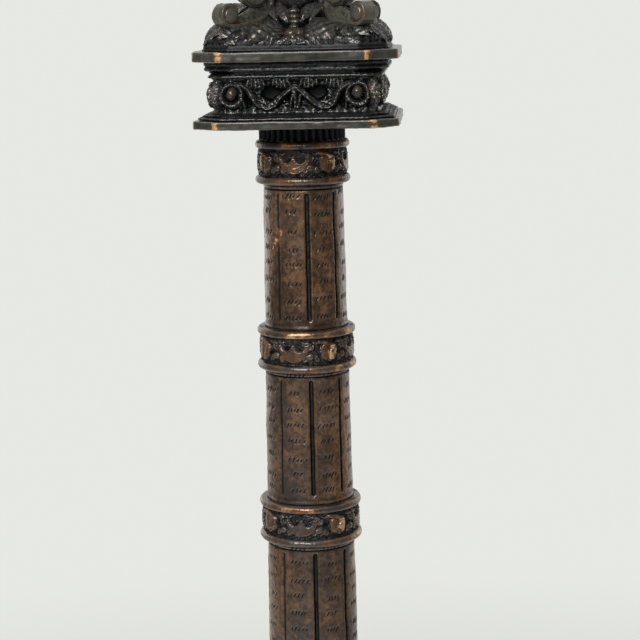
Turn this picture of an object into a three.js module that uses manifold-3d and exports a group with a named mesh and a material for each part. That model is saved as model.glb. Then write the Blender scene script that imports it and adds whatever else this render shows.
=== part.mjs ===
import * as THREE from "three";
import { mergeVertices } from "three/addons/utils/BufferGeometryUtils.js";
import Module from "manifold-3d";

// Paschal candlestick of cast bronze sections, strung on one iron tie rod.
// Millimetres, +Z up, front towards -Y. The origin is on the floor, under the middle.

// Fits
const SEAT_GAP = 0.3; // between two castings that seat on each other
const ROD_GAP = 0.4; // round the tie rod in a bored casting
const SPIGOT_GAP = 0.3; // round a tube's spigot in its band
const PAN_GAP = 0.8; // round the socket in the drip pan

// Facets
const ROUND_SIDES = 20;
const SMALL_SIDES = 8;
const PAN_SIDES = 28;
const ARC_STEPS = 4;
const BEAD_STEPS = 3;

// Tie rod, nut and washer
const ROD_RADIUS = 6;
const ROD_TAIL = 22; // below the base plate
const ROD_IN_SOCKET = 8;
const NUT_WIDTH = 19;
const NUT_HEIGHT = 10;
const WASHER_RADIUS = 18;
const WASHER_THICK = 2.5;

// Paw feet and their screws
const FOOT_HEIGHT = 46;
const FOOT_WIDTH = 50;
const TOE_LENGTH = 30;
const TOE_RADIUS = 9;
const TOE_TALL = 1.3; // a toe's height against its width
const TOE_SUNK = 0.8; // a toe's centre stands this share of its radius off the floor
const TOE_REACH = 12; // an outer toe's centre, out from the foot's
const TOE_LEAD = 5; // the inner toes stand this much further out
const TOE_COUNT = 4;
const PAD_LENGTH = 57;
const PAD_WIDTH = 47;
const PAD_HEIGHT = 36;
const PAD_RISE = 4;
const ANKLE_RADIUS = 17;
const ANKLE_WAIST = 15;
const ANKLE_TOP_RADIUS = 24;
const ANKLE_BACK = 6; // behind the foot's centre
const ANKLE_SIDES = 12;
const SCREW_BACK = 17; // behind the foot's centre
const SCREW_CLEAR = 7.4; // from the screw's head to the hollow's corner inside the panels
const SCREW_RADIUS = 4;
const SCREW_HEAD_RADIUS = 7;
const SCREW_HEAD_HEIGHT = 4;
const SCREW_DEPTH = 24; // into the foot

// Stem
const TUBE_COUNT = 5;
const TUBE_LENGTH = 86.3;
const TOP_TUBE_LENGTH = 91.9; // the top tube is a little longer than the rest
const STEM_TOP_RADIUS = 25;
const STEM_FOOT_RADIUS = 33;
const STEM_BORE = 18;
const STEM_TURN = THREE.MathUtils.degToRad(9); // the grooves' turn from the capital's face
const SPIGOT_RADIUS = 22;
const SPIGOT_LENGTH = 7;
const GROOVE_COUNT = 8;
const GROOVE_WIDTH = 2.6;
const GROOVE_DEPTH = 1.5;
const GROOVE_MARGIN = 6.5; // from a groove's end to the tube's shoulder
const GROOVE_END_STEPS = 2;

// Bands round the stem
const BEAD_RADIUS = 2.6;
const BEAD_SPACING = 22.3; // from bead to bead, centre to centre
const BEAD_STANDS = 3; // a bead's centre stands this far out from the stem
const BAND_STANDS = 2.2; // the band's own face stands this far out

// Fluted neck under the capital
const NECK_RADIUS = 27.6;
const NECK_HEIGHT = 9.7;
const FLUTE_COUNT = 24;
const FLUTE_DEPTH = 1.3;
const NECK_BORE = 20;

// Knop between the base and the stem
const KNOP_RADIUS = 52;
const KNOP_WAIST = 39;
const KNOP_HEIGHT = 50;
const KNOP_BORE = 22;
const KNOP_FILLET = 5;
const KNOP_MIDDLE = 23; // height of the bulb's widest line
const KNOP_SWELL = 15; // the bulb's half height
const KNOP_FOOT_OUT = 3; // the foot stands this far out from the hill's neck

// Vase between the crown's scrolls and the socket
const VASE_RADIUS = 43;
const VASE_WAIST = 19;
const VASE_TOP_RADIUS = 50;
const VASE_HEIGHT = 54;
const VASE_LIP = 5;
const VASE_BORE = 13;
const VASE_RING = 3; // how far the foot's ring swells
const VASE_FOOT_OUT = 2; // the foot stands this far out from the waist
const VASE_CUP_START = 0.28; // share of the height under the lip
const VASE_CUP_END = 0.94;
const VASE_CUP_CURVE = 1.4;

// Socket and drip pan
const SOCKET_BORE = 32.5;
const SOCKET_RADIUS = 36;
const SOCKET_BEAD = 2;
const SOCKET_HEIGHT = 68;
const SOCKET_FLOOR = 12;
const PAN_RADIUS = 94;
const PAN_WALL = 3;
const PAN_DEPTH = 15;
const PAN_FLARE = 12; // how far the wall leans out from floor to rim
const PAN_RIM = 3;
const PAN_HEEL = 4; // the flat floor ends this far inside the wall's foot
const PAN_FOLD_OUT = 0.4; // the wall's fold, as shares of its flare and of its depth
const PAN_FOLD_UP = 0.35;

// Leafy hill
const LEAF_TILT = 0.6; // radians, a leaf's lean to its side
const BUD_DEPTH = 0.78; // a bud's depth against its width
const SHELF_CUT = 0.27; // corner cut of the hill's shelf, as a share of its half width
const SHELF_SLOPE = 0.25; // of an edge: how far the shelf climbs up to a scroll's ribbon
const SLOPE_START = 0.72; // the slope starts at this share of the shelf's half width
const SLOPE_END = 0.75; // and ends at this share of the hill's height
const SLOPE_CURVE = 2.2; // how hollow the slope is
const SLOPE_SQUARE = 0.28; // how much squarer than the neck the slope starts

// Canted-square castings: the base, and the capital with its crown above it.
// "cut" is what a corner loses along each side; each "in" is measured in from the plate's edge.
const BASE = {
  plateHalf: 148,
  plateCut: 36,
  plateThick: 12,
  edge: 2.2,
  stepIn: 8,
  stepHeight: 9,
  friezeIn: 32,
  friezeCut: 22,
  friezeHeight: 50,
  friezeBulge: 7,
  friezeWall: 7,
  ledgeIn: 22,
  ledgeHeight: 12,
  shelfIn: 15,
  shelfHeight: 12,
  topCut: 38,
  topThick: 11,
  recessRadius: 14,
  recessDepth: 4,
  recessSpacing: 37,
  hillIn: 14,
  hillWall: 6,
  hillFoot: 9,
  hillShelfHalf: 108,
  hillShelfHeight: 27,
  hillNeckHalf: 34,
  hillHeight: 130,
  leafLength: 70,
  leafWidth: 31,
  leafThick: 15,
  leafLean: 54,
  leafSpread: 47,
  leafReach: 112,
  leafRise: 25,
  stalkRadius: 5.4,
  stalkLength: 57,
  berryRadius: 10,
  berryReach: 124,
  berryRise: 20,
  budRadius: 26,
  budReach: 56,
  budRise: 74,
  rollRadius: 16.8,
  rollReach: 134,
  rollRise: 53,
  voluteRadius: 29,
  voluteReach: 86,
  voluteRise: 88,
  ribbonThick: 8,
  ribbonDipReach: 110,
  scrollWidth: 23,
};
const CAPITAL = {
  plateHalf: 63.5,
  plateCut: 14.5,
  plateThick: 5.1,
  edge: 1,
  stepIn: 3,
  stepHeight: 4,
  friezeIn: 12,
  friezeCut: 9,
  friezeHeight: 21.1,
  friezeBulge: 2.5,
  friezeWall: 5,
  ledgeIn: 9.5,
  ledgeHeight: 4.4,
  shelfIn: 6.5,
  shelfHeight: 5.4,
  topCut: 18,
  topThick: 6.2,
  recessRadius: 6,
  recessDepth: 2.2,
  recessSpacing: 16,
  hillIn: 6,
  hillWall: 3.5,
  hillFoot: 4,
  hillShelfHalf: 47,
  hillShelfHeight: 12.5,
  hillNeckHalf: 15.5,
  hillHeight: 58,
  leafLength: 30,
  leafWidth: 13,
  leafThick: 6.5,
  leafLean: 54,
  leafSpread: 20,
  leafReach: 47.5,
  leafRise: 10.5,
  stalkRadius: 2.4,
  stalkLength: 24,
  berryRadius: 4.2,
  berryReach: 54,
  berryRise: 8.6,
  budRadius: 11,
  budReach: 25,
  budRise: 31.5,
  rollRadius: 7.2,
  rollReach: 59,
  rollRise: 23.2,
  voluteRadius: 12.5,
  voluteReach: 37,
  voluteRise: 38,
  ribbonThick: 3.5,
  ribbonDipReach: 50,
  scrollWidth: 10.5,
};

// Levels, worked up from the floor
const BEAD_STEP = BEAD_SPACING / 2;
const BAND_HEIGHT = BEAD_SPACING + 2 * BEAD_RADIUS;
const TUBE_RISE = TUBE_LENGTH + 2 * SEAT_GAP + BAND_HEIGHT; // from band to band
const STEM_HEIGHT = TUBE_COUNT * TUBE_RISE + TOP_TUBE_LENGTH - TUBE_LENGTH + BAND_HEIGHT;
const basePlateZ = FOOT_HEIGHT + SEAT_GAP;
const basePanelZ = basePlateZ + BASE.plateThick + SEAT_GAP;
const baseTopZ = basePanelZ + panelHeight(BASE) + SEAT_GAP;
const baseHillZ = baseTopZ + BASE.topThick + SEAT_GAP;
const knopZ = baseHillZ + BASE.hillHeight + SEAT_GAP;
const stemZ = knopZ + KNOP_HEIGHT + SEAT_GAP;
const neckZ = stemZ + STEM_HEIGHT + SEAT_GAP;
const capitalPlateZ = neckZ + NECK_HEIGHT + SEAT_GAP;
const capitalFriezeZ = capitalPlateZ + CAPITAL.plateThick + SEAT_GAP;
const capitalTopZ = capitalFriezeZ + panelHeight(CAPITAL) + SEAT_GAP;
const crownHillZ = capitalTopZ + CAPITAL.topThick + SEAT_GAP;
const vaseZ = crownHillZ + CAPITAL.hillHeight + SEAT_GAP;
const socketZ = vaseZ + VASE_HEIGHT + SEAT_GAP;

// Reaches along a diagonal
const screwReach = cornerReach(...friezeHollow(BASE)) - SCREW_HEAD_RADIUS - SCREW_CLEAR;
const footReach = screwReach + SCREW_BACK;

const BRONZE = { color: 0x3a2c20, roughness: 0.42, metalness: 0.9 };
const RUBBED = { color: 0x5a3c22, roughness: 0.38, metalness: 0.9 };
const IRON = { color: 0x3d3b38, roughness: 0.6, metalness: 0.8 };

const SIDES = ["front", "right", "back", "left"];
const CORNERS = ["front_right", "back_right", "back_left", "front_left"];
const CORNER_ANGLE = -Math.PI / 4; // the front right corner's direction
const QUARTER = Math.PI / 2;
const FAR = 1000;

const wasm = await Module();
wasm.setup();

// Height of a panel: its foot moulding, frieze and the two steps of its cornice.
function panelHeight(size) {
  return size.stepHeight + size.friezeHeight + size.ledgeHeight + size.shelfHeight;
}

// Half width and corner cut of the hollow inside a frieze.
function friezeHollow(size) {
  return [size.plateHalf - size.friezeIn - size.friezeWall, size.friezeCut - size.friezeWall / 2];
}

// How far a canted square's cut corner lies from the middle.
function cornerReach(half, cut) {
  return (2 * half - cut) / Math.SQRT2;
}

// A closed geometry as a solid that can be joined and cut.
function solidOf(geometry) {
  const bare = geometry.clone();
  bare.deleteAttribute("normal");
  bare.deleteAttribute("uv");
  const merged = mergeVertices(bare, 1e-4);
  return new wasm.Manifold(
    new wasm.Mesh({
      numProp: 3,
      vertProperties: new Float32Array(merged.attributes.position.array),
      triVerts: new Uint32Array(merged.index.array),
    }),
  );
}

// A solid back as a geometry.
function geometryOf(solid) {
  const mesh = solid.getMesh();
  const geometry = new THREE.BufferGeometry();
  geometry.setAttribute("position", new THREE.BufferAttribute(mesh.vertProperties, 3));
  geometry.setIndex(new THREE.BufferAttribute(mesh.triVerts, 1));
  geometry.computeVertexNormals();
  return geometry;
}

const joined = (...solids) => solids.reduce((whole, one) => whole.add(one));
const cutBy = (solid, ...tools) => tools.reduce((left, tool) => left.subtract(tool), solid);

// A profile of [radius, z] points turned round Z. It runs anticlockwise, with Z up.
function turned(profile, sides = ROUND_SIDES) {
  const points = profile.map(([radius, z]) => new THREE.Vector2(radius, z));
  return new THREE.LatheGeometry(points, sides).rotateX(QUARTER);
}

// A plain upright cylinder from z = low to z = high.
function rod(radius, low, high, sides = ROUND_SIDES) {
  return turned([[0, low], [radius, low], [radius, high], [0, high]], sides);
}

// An outline of [x, y] points as a three.js shape.
function outline(points) {
  return new THREE.Shape(points.map(([x, y]) => new THREE.Vector2(x, y)));
}

// A square of half width half with its corners cut off, anticlockwise from the front's left end.
function cantedSquare(half, cut) {
  const flat = half - cut;
  return [
    [-flat, -half], [flat, -half], [half, -flat], [half, flat],
    [flat, half], [-flat, half], [-half, flat], [-half, -flat],
  ];
}

// Canted squares, one for each [half, cut, z] row from the bottom up, skinned and capped.
function cantedLoft(rows) {
  const sides = 8;
  const positions = rows.flatMap(([half, cut, z]) =>
    cantedSquare(half, cut).flatMap(([x, y]) => [x, y, z]),
  );
  const indices = [];
  for (let row = 0; row + 1 < rows.length; row++) {
    for (let i = 0; i < sides; i++) {
      const low = row * sides + i;
      const next = row * sides + ((i + 1) % sides);
      indices.push(low, next, next + sides, low, next + sides, low + sides);
    }
  }
  const top = (rows.length - 1) * sides;
  for (let i = 1; i + 1 < sides; i++) {
    indices.push(0, i + 1, i, top, top + i, top + i + 1);
  }
  const geometry = new THREE.BufferGeometry();
  geometry.setAttribute("position", new THREE.Float32BufferAttribute(positions, 3));
  geometry.setIndex(indices);
  return geometry;
}

const radial = (angle, radius) => [radius * Math.cos(angle), radius * Math.sin(angle)];

// Points on an arc about [x, z], from one angle to another, both ends included.
function arc(x, z, radius, from, to, steps = ARC_STEPS) {
  return Array.from({ length: steps + 1 }, (_, i) => {
    const [dx, dz] = radial(from + ((to - from) * i) / steps, radius);
    return [x + dx, z + dz];
  });
}

// The stem's radius at a height above its foot.
function stemRadius(height) {
  const share = height / STEM_HEIGHT;
  return STEM_FOOT_RADIUS + (STEM_TOP_RADIUS - STEM_FOOT_RADIUS) * share;
}

// Stem

// A groove's cutter: a slot with round ends, cut along Y into a wall that faces -Y.
function grooveCutter(length, radius) {
  const half = GROOVE_WIDTH / 2;
  const run = length / 2 - half;
  const slot = outline([
    ...arc(0, run, half, 0, Math.PI, GROOVE_END_STEPS),
    ...arc(0, -run, half, Math.PI, 2 * Math.PI, GROOVE_END_STEPS),
  ]);
  const above = 4;
  const cutter = new THREE.ExtrudeGeometry(slot, {
    depth: GROOVE_DEPTH + above,
    bevelEnabled: false,
  });
  return cutter.rotateX(QUARTER).translate(0, -(radius - GROOVE_DEPTH), 0);
}

// One tapered tube of the stem, from its foot up, with a spigot at each end.
function stemTube(height, length) {
  const low = stemRadius(height);
  const high = stemRadius(height + length);
  const tube = solidOf(turned([
    [STEM_BORE, -SPIGOT_LENGTH],
    [SPIGOT_RADIUS, -SPIGOT_LENGTH],
    [SPIGOT_RADIUS, 0],
    [low, 0],
    [high, length],
    [SPIGOT_RADIUS, length],
    [SPIGOT_RADIUS, length + SPIGOT_LENGTH],
    [STEM_BORE, length + SPIGOT_LENGTH],
    [STEM_BORE, -SPIGOT_LENGTH],
  ]));
  const taper = Math.atan((low - high) / length);
  const grooveLength = length - 2 * GROOVE_MARGIN;
  const grooves = Array.from({ length: GROOVE_COUNT }, (_, i) =>
    solidOf(
      grooveCutter(grooveLength, (low + high) / 2)
        .rotateX(-taper)
        .rotateZ(STEM_TURN + (i * 2 * Math.PI) / GROOVE_COUNT)
        .translate(0, 0, length / 2),
    ),
  );
  return geometryOf(cutBy(tube, ...grooves));
}

// One band of the stem: a collar with a bead at each edge, bored for the spigots.
function stemBand(height) {
  const bore = SPIGOT_RADIUS + SPIGOT_GAP;
  const stem = stemRadius(height + BAND_HEIGHT / 2);
  const lowBead = BEAD_RADIUS;
  const highBead = BEAD_RADIUS + BEAD_SPACING;
  const bead = (z) => arc(stem + BEAD_STANDS, z, BEAD_RADIUS, -QUARTER, QUARTER, BEAD_STEPS);
  return turned([
    [bore, 0],
    ...bead(lowBead),
    [stem + BAND_STANDS, lowBead + BEAD_RADIUS],
    [stem + BAND_STANDS, highBead - BEAD_RADIUS],
    ...bead(highBead),
    [bore, BAND_HEIGHT],
    [bore, 0],
  ]);
}

// The neck's section, with round-bottomed flutes.
function flutedNeck() {
  const stepsPerFlute = 3;
  const count = FLUTE_COUNT * stepsPerFlute;
  const section = outline(
    Array.from({ length: count }, (_, i) => {
      const phase = (i % stepsPerFlute) / stepsPerFlute;
      const depth = FLUTE_DEPTH * Math.sin(Math.PI * phase);
      return radial((i * 2 * Math.PI) / count, NECK_RADIUS - depth);
    }),
  );
  const neck = new THREE.ExtrudeGeometry(section, { depth: NECK_HEIGHT, bevelEnabled: false });
  const bore = rod(NECK_BORE, -SEAT_GAP, NECK_HEIGHT + SEAT_GAP);
  return geometryOf(cutBy(solidOf(neck), solidOf(bore)));
}

// Canted-square castings

// A flat plate with canted corners, softened edges and a hole for the rod.
function cantedPlate(half, cut, thick, edge) {
  const plate = cantedLoft([
    [half - edge, cut, 0],
    [half, cut, edge],
    [half, cut, thick - edge],
    [half - edge, cut, thick],
  ]);
  const hole = rod(ROD_RADIUS + ROD_GAP, -edge, thick + edge, SMALL_SIDES);
  return cutBy(solidOf(plate), solidOf(hole));
}

// The outside of the frieze with its foot moulding and cornice.
function friezeOutside(size) {
  const { plateHalf, friezeIn, friezeBulge, friezeCut } = size;
  const step = plateHalf - size.stepIn;
  const wall = plateHalf - friezeIn;
  const ledge = plateHalf - size.ledgeIn;
  const shelf = plateHalf - size.shelfIn;
  const friezeFoot = size.stepHeight;
  const friezeTop = friezeFoot + size.friezeHeight;
  const ledgeTop = friezeTop + size.ledgeHeight;
  const bulgeRows = Array.from({ length: ARC_STEPS + 1 }, (_, i) => {
    const share = i / ARC_STEPS;
    const swell = friezeBulge * Math.sin(Math.PI * share);
    return [wall + swell, friezeCut, friezeFoot + size.friezeHeight * share];
  });
  return cantedLoft([
    [step, size.plateCut, 0],
    [step, size.plateCut, friezeFoot / 3],
    [wall + friezeBulge, friezeCut, friezeFoot],
    ...bulgeRows,
    [ledge - size.edge, friezeCut, friezeTop],
    [ledge, friezeCut, ledgeTop],
    [shelf, size.topCut, ledgeTop],
    [shelf, size.topCut, panelHeight(size)],
  ]);
}

// Round recesses between the frieze's scrolls, side by side along one face.
function friezeRecesses(size, angle) {
  const face = size.plateHalf - size.friezeIn + size.friezeBulge;
  const middle = size.stepHeight + size.friezeHeight / 2;
  return [-1.5, -0.5, 0.5, 1.5].map((place) =>
    solidOf(
      rod(size.recessRadius, 0, 2 * size.recessDepth, SMALL_SIDES)
        .rotateX(QUARTER)
        .translate(place * size.recessSpacing, size.recessDepth - face, middle)
        .rotateZ(angle),
    ),
  );
}

// The frieze as a hollow ring, with recesses in its four faces.
function friezeRing(size) {
  const [inside, innerCut] = friezeHollow(size);
  const hollow = cantedLoft([
    [inside, innerCut, -SEAT_GAP],
    [inside, innerCut, panelHeight(size) + SEAT_GAP],
  ]);
  const recesses = SIDES.flatMap((_, i) => friezeRecesses(size, i * QUARTER));
  return cutBy(solidOf(friezeOutside(size)), solidOf(hollow), ...recesses);
}

// The leafy hill's rows: a spreading foot, a shelf for the scrolls and a slim eight-sided neck.
function hillRows(size, wall) {
  const { hillFoot, hillShelfHeight, hillHeight } = size;
  const octagon = 2 - Math.SQRT2;
  const foot = size.plateHalf - size.hillIn - wall;
  const shelf = size.hillShelfHalf - wall;
  const neck = size.hillNeckHalf - wall;
  const drop = wall; // the hollow's roof lies a wall lower than the outside
  const slopeHalf = (share) =>
    neck + (shelf * SLOPE_START - neck) * (1 - share) ** SLOPE_CURVE;
  const slope = [0, 0.15, 0.35, 0.6, 1].map((share) => {
    const half = slopeHalf(share);
    const rise = hillShelfHeight + size.edge / 2 - drop;
    const height = (hillHeight * SLOPE_END - hillShelfHeight) * share;
    return [half, half * (octagon - SLOPE_SQUARE * (1 - share)), rise + height];
  });
  return [
    [foot, size.topCut - size.edge, wall ? -SEAT_GAP : 0],
    [foot - size.edge, size.topCut - size.edge, Math.max(hillFoot - drop, 0) + size.edge / 2],
    [shelf, shelf * SHELF_CUT, hillShelfHeight - drop],
    ...slope,
    [neck, neck * octagon, hillHeight + (wall ? SEAT_GAP : 0)],
  ];
}

// A pair of acanthus leaves, a berry on a stalk and a bud on the hill's face turned by angle.
function hillFoliage(size, angle) {
  const lean = THREE.MathUtils.degToRad(size.leafLean);
  const leaves = [-1, 1].map((side) =>
    solidOf(
      new THREE.SphereGeometry(1, 6, 5)
        .rotateX(QUARTER)
        .scale(size.leafWidth / 2, size.leafThick / 2, size.leafLength / 2)
        .rotateY(-side * LEAF_TILT)
        .rotateX(-lean)
        .translate(side * size.leafSpread, -size.leafReach, size.leafRise)
        .rotateZ(angle),
    ),
  );
  const berry = solidOf(
    new THREE.SphereGeometry(size.berryRadius, 6, 5)
      .rotateX(QUARTER)
      .translate(0, -size.berryReach, size.berryRise)
      .rotateZ(angle),
  );
  const stalk = solidOf(
    rod(size.stalkRadius, 0, size.stalkLength, SMALL_SIDES)
      .rotateX(-lean)
      .translate(0, -size.berryReach, size.berryRise)
      .rotateZ(angle),
  );
  const bud = solidOf(
    new THREE.SphereGeometry(size.budRadius, SMALL_SIDES, 6)
      .rotateX(QUARTER)
      .scale(1, BUD_DEPTH, 1)
      .translate(0, -size.budReach, size.budRise)
      .rotateZ(angle),
  );
  return joined(...leaves, berry, stalk, bud);
}

// The hill as a shell with its foliage, kept above its seat and clear of what stands on it.
function leafyHill(size) {
  const foliage = SIDES.map((_, i) => hillFoliage(size, i * QUARTER));
  const inside = solidOf(cantedLoft(hillRows(size, size.hillWall)));
  const below = solidOf(rod(size.plateHalf * 2, -FAR, 0, SMALL_SIDES));
  return cutBy(joined(solidOf(cantedLoft(hillRows(size, 0))), ...foliage), inside, below);
}

// The path of a scroll's ribbon, as [reach, rise] points from the corner roll to the volute.
function ribbonPath(size) {
  const half = size.ribbonThick / 2;
  const roll = size.rollRadius - half;
  const volute = size.voluteRadius - half;
  const foot = [size.rollReach, size.rollRise - roll];
  const shelf = size.hillShelfHeight + size.edge * SHELF_SLOPE;
  const dip = [size.ribbonDipReach, shelf + SEAT_GAP + half];
  const back = [size.voluteReach - volute, size.voluteRise];
  const curve = new THREE.CatmullRomCurve3(
    [foot, dip, [(dip[0] + back[0] * 2) / 3, (dip[1] * 3 + back[1]) / 4], back].map(
      ([reach, rise]) => new THREE.Vector3(reach, rise, 0),
    ),
  );
  return curve.getPoints(8).map(({ x, y }) => [x, y]);
}

// A scroll bracket in the plane of a diagonal: a corner roll, a ribbon and an upper volute.
function scrollBracket(size) {
  const depth = { depth: size.scrollWidth, bevelEnabled: false };
  const half = size.ribbonThick / 2;
  const path = ribbonPath(size);
  const normals = path.map((_, i) => {
    const before = path[Math.max(i - 1, 0)];
    const after = path[Math.min(i + 1, path.length - 1)];
    const run = Math.hypot(after[0] - before[0], after[1] - before[1]);
    return [(before[1] - after[1]) / run, (after[0] - before[0]) / run];
  });
  const edge = (side) =>
    path.map(([x, y], i) => [x + side * half * normals[i][0], y + side * half * normals[i][1]]);
  const ribbon = outline([...edge(1), ...edge(-1).reverse()]);
  const disc = (radius, reach, rise, sides) =>
    outline(arc(reach, rise, radius, 0, 2 * Math.PI * (1 - 1 / sides), sides - 1));
  const roll = disc(size.rollRadius, size.rollReach, size.rollRise, 12);
  const volute = disc(size.voluteRadius, size.voluteReach, size.voluteRise, 14);
  const solids = [ribbon, roll, volute].map((shape) =>
    solidOf(
      new THREE.ExtrudeGeometry(shape, depth)
        .translate(0, 0, -size.scrollWidth / 2)
        .rotateX(QUARTER),
    ),
  );
  return joined(...solids);
}

// One side of a four-sided ring, cut free of its neighbours along the diagonals.
function quarterOf(solid, angle) {
  const apex = -SEAT_GAP / Math.SQRT2;
  const wedge = new THREE.ExtrudeGeometry(
    outline([[0, apex], [-FAR, apex - FAR], [FAR, apex - FAR]]),
    { depth: 2 * FAR, bevelEnabled: false },
  );
  return solid.intersect(solidOf(wedge.translate(0, 0, -FAR).rotateZ(angle)));
}

// Feet and fastenings

// A lion's paw under a corner: four toes and an ankle, flat below and above.
function pawFoot() {
  const toeStep = (FOOT_WIDTH - 2 * TOE_RADIUS) / (TOE_COUNT - 1);
  const ball = () => new THREE.SphereGeometry(1, 8, 6).rotateX(QUARTER);
  const toes = Array.from({ length: TOE_COUNT }, (_, i) => {
    const across = (i - (TOE_COUNT - 1) / 2) * toeStep;
    const inner = Math.abs(across) < toeStep;
    return solidOf(
      ball()
        .scale(TOE_LENGTH / 2, TOE_RADIUS, TOE_RADIUS * TOE_TALL)
        .translate(TOE_REACH + (inner ? TOE_LEAD : 0), across, TOE_RADIUS * TOE_SUNK),
    );
  });
  const pad = solidOf(
    ball().scale(PAD_LENGTH / 2, PAD_WIDTH / 2, PAD_HEIGHT / 2).translate(0, 0, PAD_RISE),
  );
  const [waist, flare] = [0.4, 0.7].map((share) => FOOT_HEIGHT * share);
  const ankle = turned(
    [
      [0, 0],
      [ANKLE_RADIUS, 0],
      [ANKLE_WAIST, waist],
      [ANKLE_RADIUS, flare],
      [ANKLE_TOP_RADIUS, FOOT_HEIGHT],
      [0, FOOT_HEIGHT],
    ],
    ANKLE_SIDES,
  ).translate(-ANKLE_BACK, 0, 0);
  const floor = solidOf(rod(FAR, 0, FOOT_HEIGHT, SMALL_SIDES));
  const holeFoot = FOOT_HEIGHT - SCREW_DEPTH - ROD_GAP;
  const hole = solidOf(
    rod(SCREW_RADIUS + ROD_GAP, holeFoot, FOOT_HEIGHT + ROD_GAP, SMALL_SIDES)
      .translate(-SCREW_BACK, 0, 0),
  );
  return geometryOf(cutBy(joined(...toes, pad, solidOf(ankle)).intersect(floor), hole));
}

// A screw through the base plate into a foot, its head above the plate.
function footScrew() {
  const seat = BASE.plateThick + 2 * SEAT_GAP;
  return turned(
    [
      [0, -SCREW_DEPTH],
      [SCREW_RADIUS, -SCREW_DEPTH],
      [SCREW_RADIUS, seat],
      [SCREW_HEAD_RADIUS, seat],
      [SCREW_HEAD_RADIUS, seat + SCREW_HEAD_HEIGHT],
      [0, seat + SCREW_HEAD_HEIGHT],
    ],
    SMALL_SIDES,
  );
}

// The base plate, with a hole over each foot.
function basePlate() {
  const holes = CORNERS.map((_, i) => {
    const [x, y] = radial(CORNER_ANGLE + i * QUARTER, screwReach);
    const high = BASE.plateThick + ROD_GAP;
    return solidOf(rod(SCREW_RADIUS + ROD_GAP, -ROD_GAP, high, SMALL_SIDES).translate(x, y, 0));
  });
  const plate = cantedPlate(BASE.plateHalf, BASE.plateCut, BASE.plateThick, BASE.edge);
  return geometryOf(cutBy(plate, ...holes));
}

// A hexagon nut, bored for the rod.
function nut() {
  const across = NUT_WIDTH / Math.sqrt(3);
  const body = solidOf(rod(across, 0, NUT_HEIGHT, 6));
  const bore = solidOf(rod(ROD_RADIUS + ROD_GAP, -ROD_GAP, NUT_HEIGHT + ROD_GAP, SMALL_SIDES));
  return geometryOf(cutBy(body, bore));
}

// Turned castings

// The knop under the stem: a hollow bulb between two fillets.
function knop() {
  const foot = BASE.hillNeckHalf + KNOP_FOOT_OUT;
  const bulb = Array.from({ length: 9 }, (_, i) => {
    const angle = -QUARTER + (Math.PI * i) / 8;
    return [
      KNOP_WAIST + (KNOP_RADIUS - KNOP_WAIST) * Math.cos(angle),
      KNOP_MIDDLE + KNOP_SWELL * Math.sin(angle),
    ];
  });
  return turned([
    [KNOP_BORE, 0],
    [foot, 0],
    [foot, KNOP_FILLET],
    ...bulb,
    [KNOP_WAIST, KNOP_HEIGHT - KNOP_FILLET],
    [KNOP_WAIST, KNOP_HEIGHT],
    [KNOP_BORE, KNOP_HEIGHT],
    [KNOP_BORE, 0],
  ]);
}

// The vase over the crown: a cup on a waist, with a flat lip for the pan and the socket.
function vase() {
  const lipFoot = VASE_HEIGHT - VASE_LIP;
  const cup = Array.from({ length: 7 }, (_, i) => {
    const share = i / 6;
    const rise = VASE_CUP_START + (VASE_CUP_END - VASE_CUP_START) * share ** VASE_CUP_CURVE;
    return [
      VASE_WAIST + (VASE_RADIUS - VASE_WAIST) * Math.sin(QUARTER * share),
      lipFoot * rise,
    ];
  });
  const foot = VASE_WAIST + VASE_FOOT_OUT;
  return turned([
    [VASE_BORE, 0],
    [foot, 0],
    [foot + VASE_RING, VASE_LIP],
    [foot, 2 * VASE_LIP],
    ...cup,
    [VASE_TOP_RADIUS - VASE_LIP / 3, lipFoot],
    [VASE_TOP_RADIUS, lipFoot + VASE_LIP / 2],
    [VASE_TOP_RADIUS - VASE_LIP / 5, VASE_HEIGHT],
    [VASE_BORE, VASE_HEIGHT],
    [VASE_BORE, 0],
  ]);
}

// The candle's socket: a cup with a bead at its foot and at its rim, screwed on the rod.
function socket() {
  const bead = (z) =>
    arc(SOCKET_RADIUS, z, SOCKET_BEAD, -QUARTER, QUARTER, BEAD_STEPS);
  const rodHole = ROD_RADIUS + ROD_GAP;
  const rodEnd = ROD_IN_SOCKET + ROD_GAP;
  return turned(
    [
      [0, rodEnd],
      [rodHole, rodEnd],
      [rodHole, 0],
      ...bead(SOCKET_BEAD),
      ...bead(SOCKET_HEIGHT - SOCKET_BEAD),
      [SOCKET_BORE, SOCKET_HEIGHT],
      [SOCKET_BORE, SOCKET_FLOOR],
      [0, SOCKET_FLOOR],
    ],
    PAN_SIDES,
  );
}

// The drip pan: a shallow dish that drops over the socket on to the vase's lip.
function dripPan() {
  const hole = SOCKET_RADIUS + SOCKET_BEAD + PAN_GAP;
  const floorRadius = PAN_RADIUS - PAN_FLARE;
  const heel = floorRadius - PAN_HEEL;
  const fold = floorRadius + PAN_FLARE * PAN_FOLD_OUT;
  const foldRise = PAN_DEPTH * PAN_FOLD_UP;
  const bead = PAN_RIM / 2;
  return turned(
    [
      [hole, 0],
      [heel, 0],
      [fold, foldRise],
      ...arc(PAN_RADIUS - bead, PAN_DEPTH - bead, bead, -QUARTER, QUARTER),
      [PAN_RADIUS - PAN_RIM - PAN_WALL / 2, PAN_DEPTH - bead],
      [fold - PAN_WALL, foldRise + PAN_WALL / Math.SQRT2],
      [heel, PAN_WALL],
      [hole, PAN_WALL],
      [hole, 0],
    ],
    PAN_SIDES,
  );
}

// Assembly

const candlestick = new THREE.Group();

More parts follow.
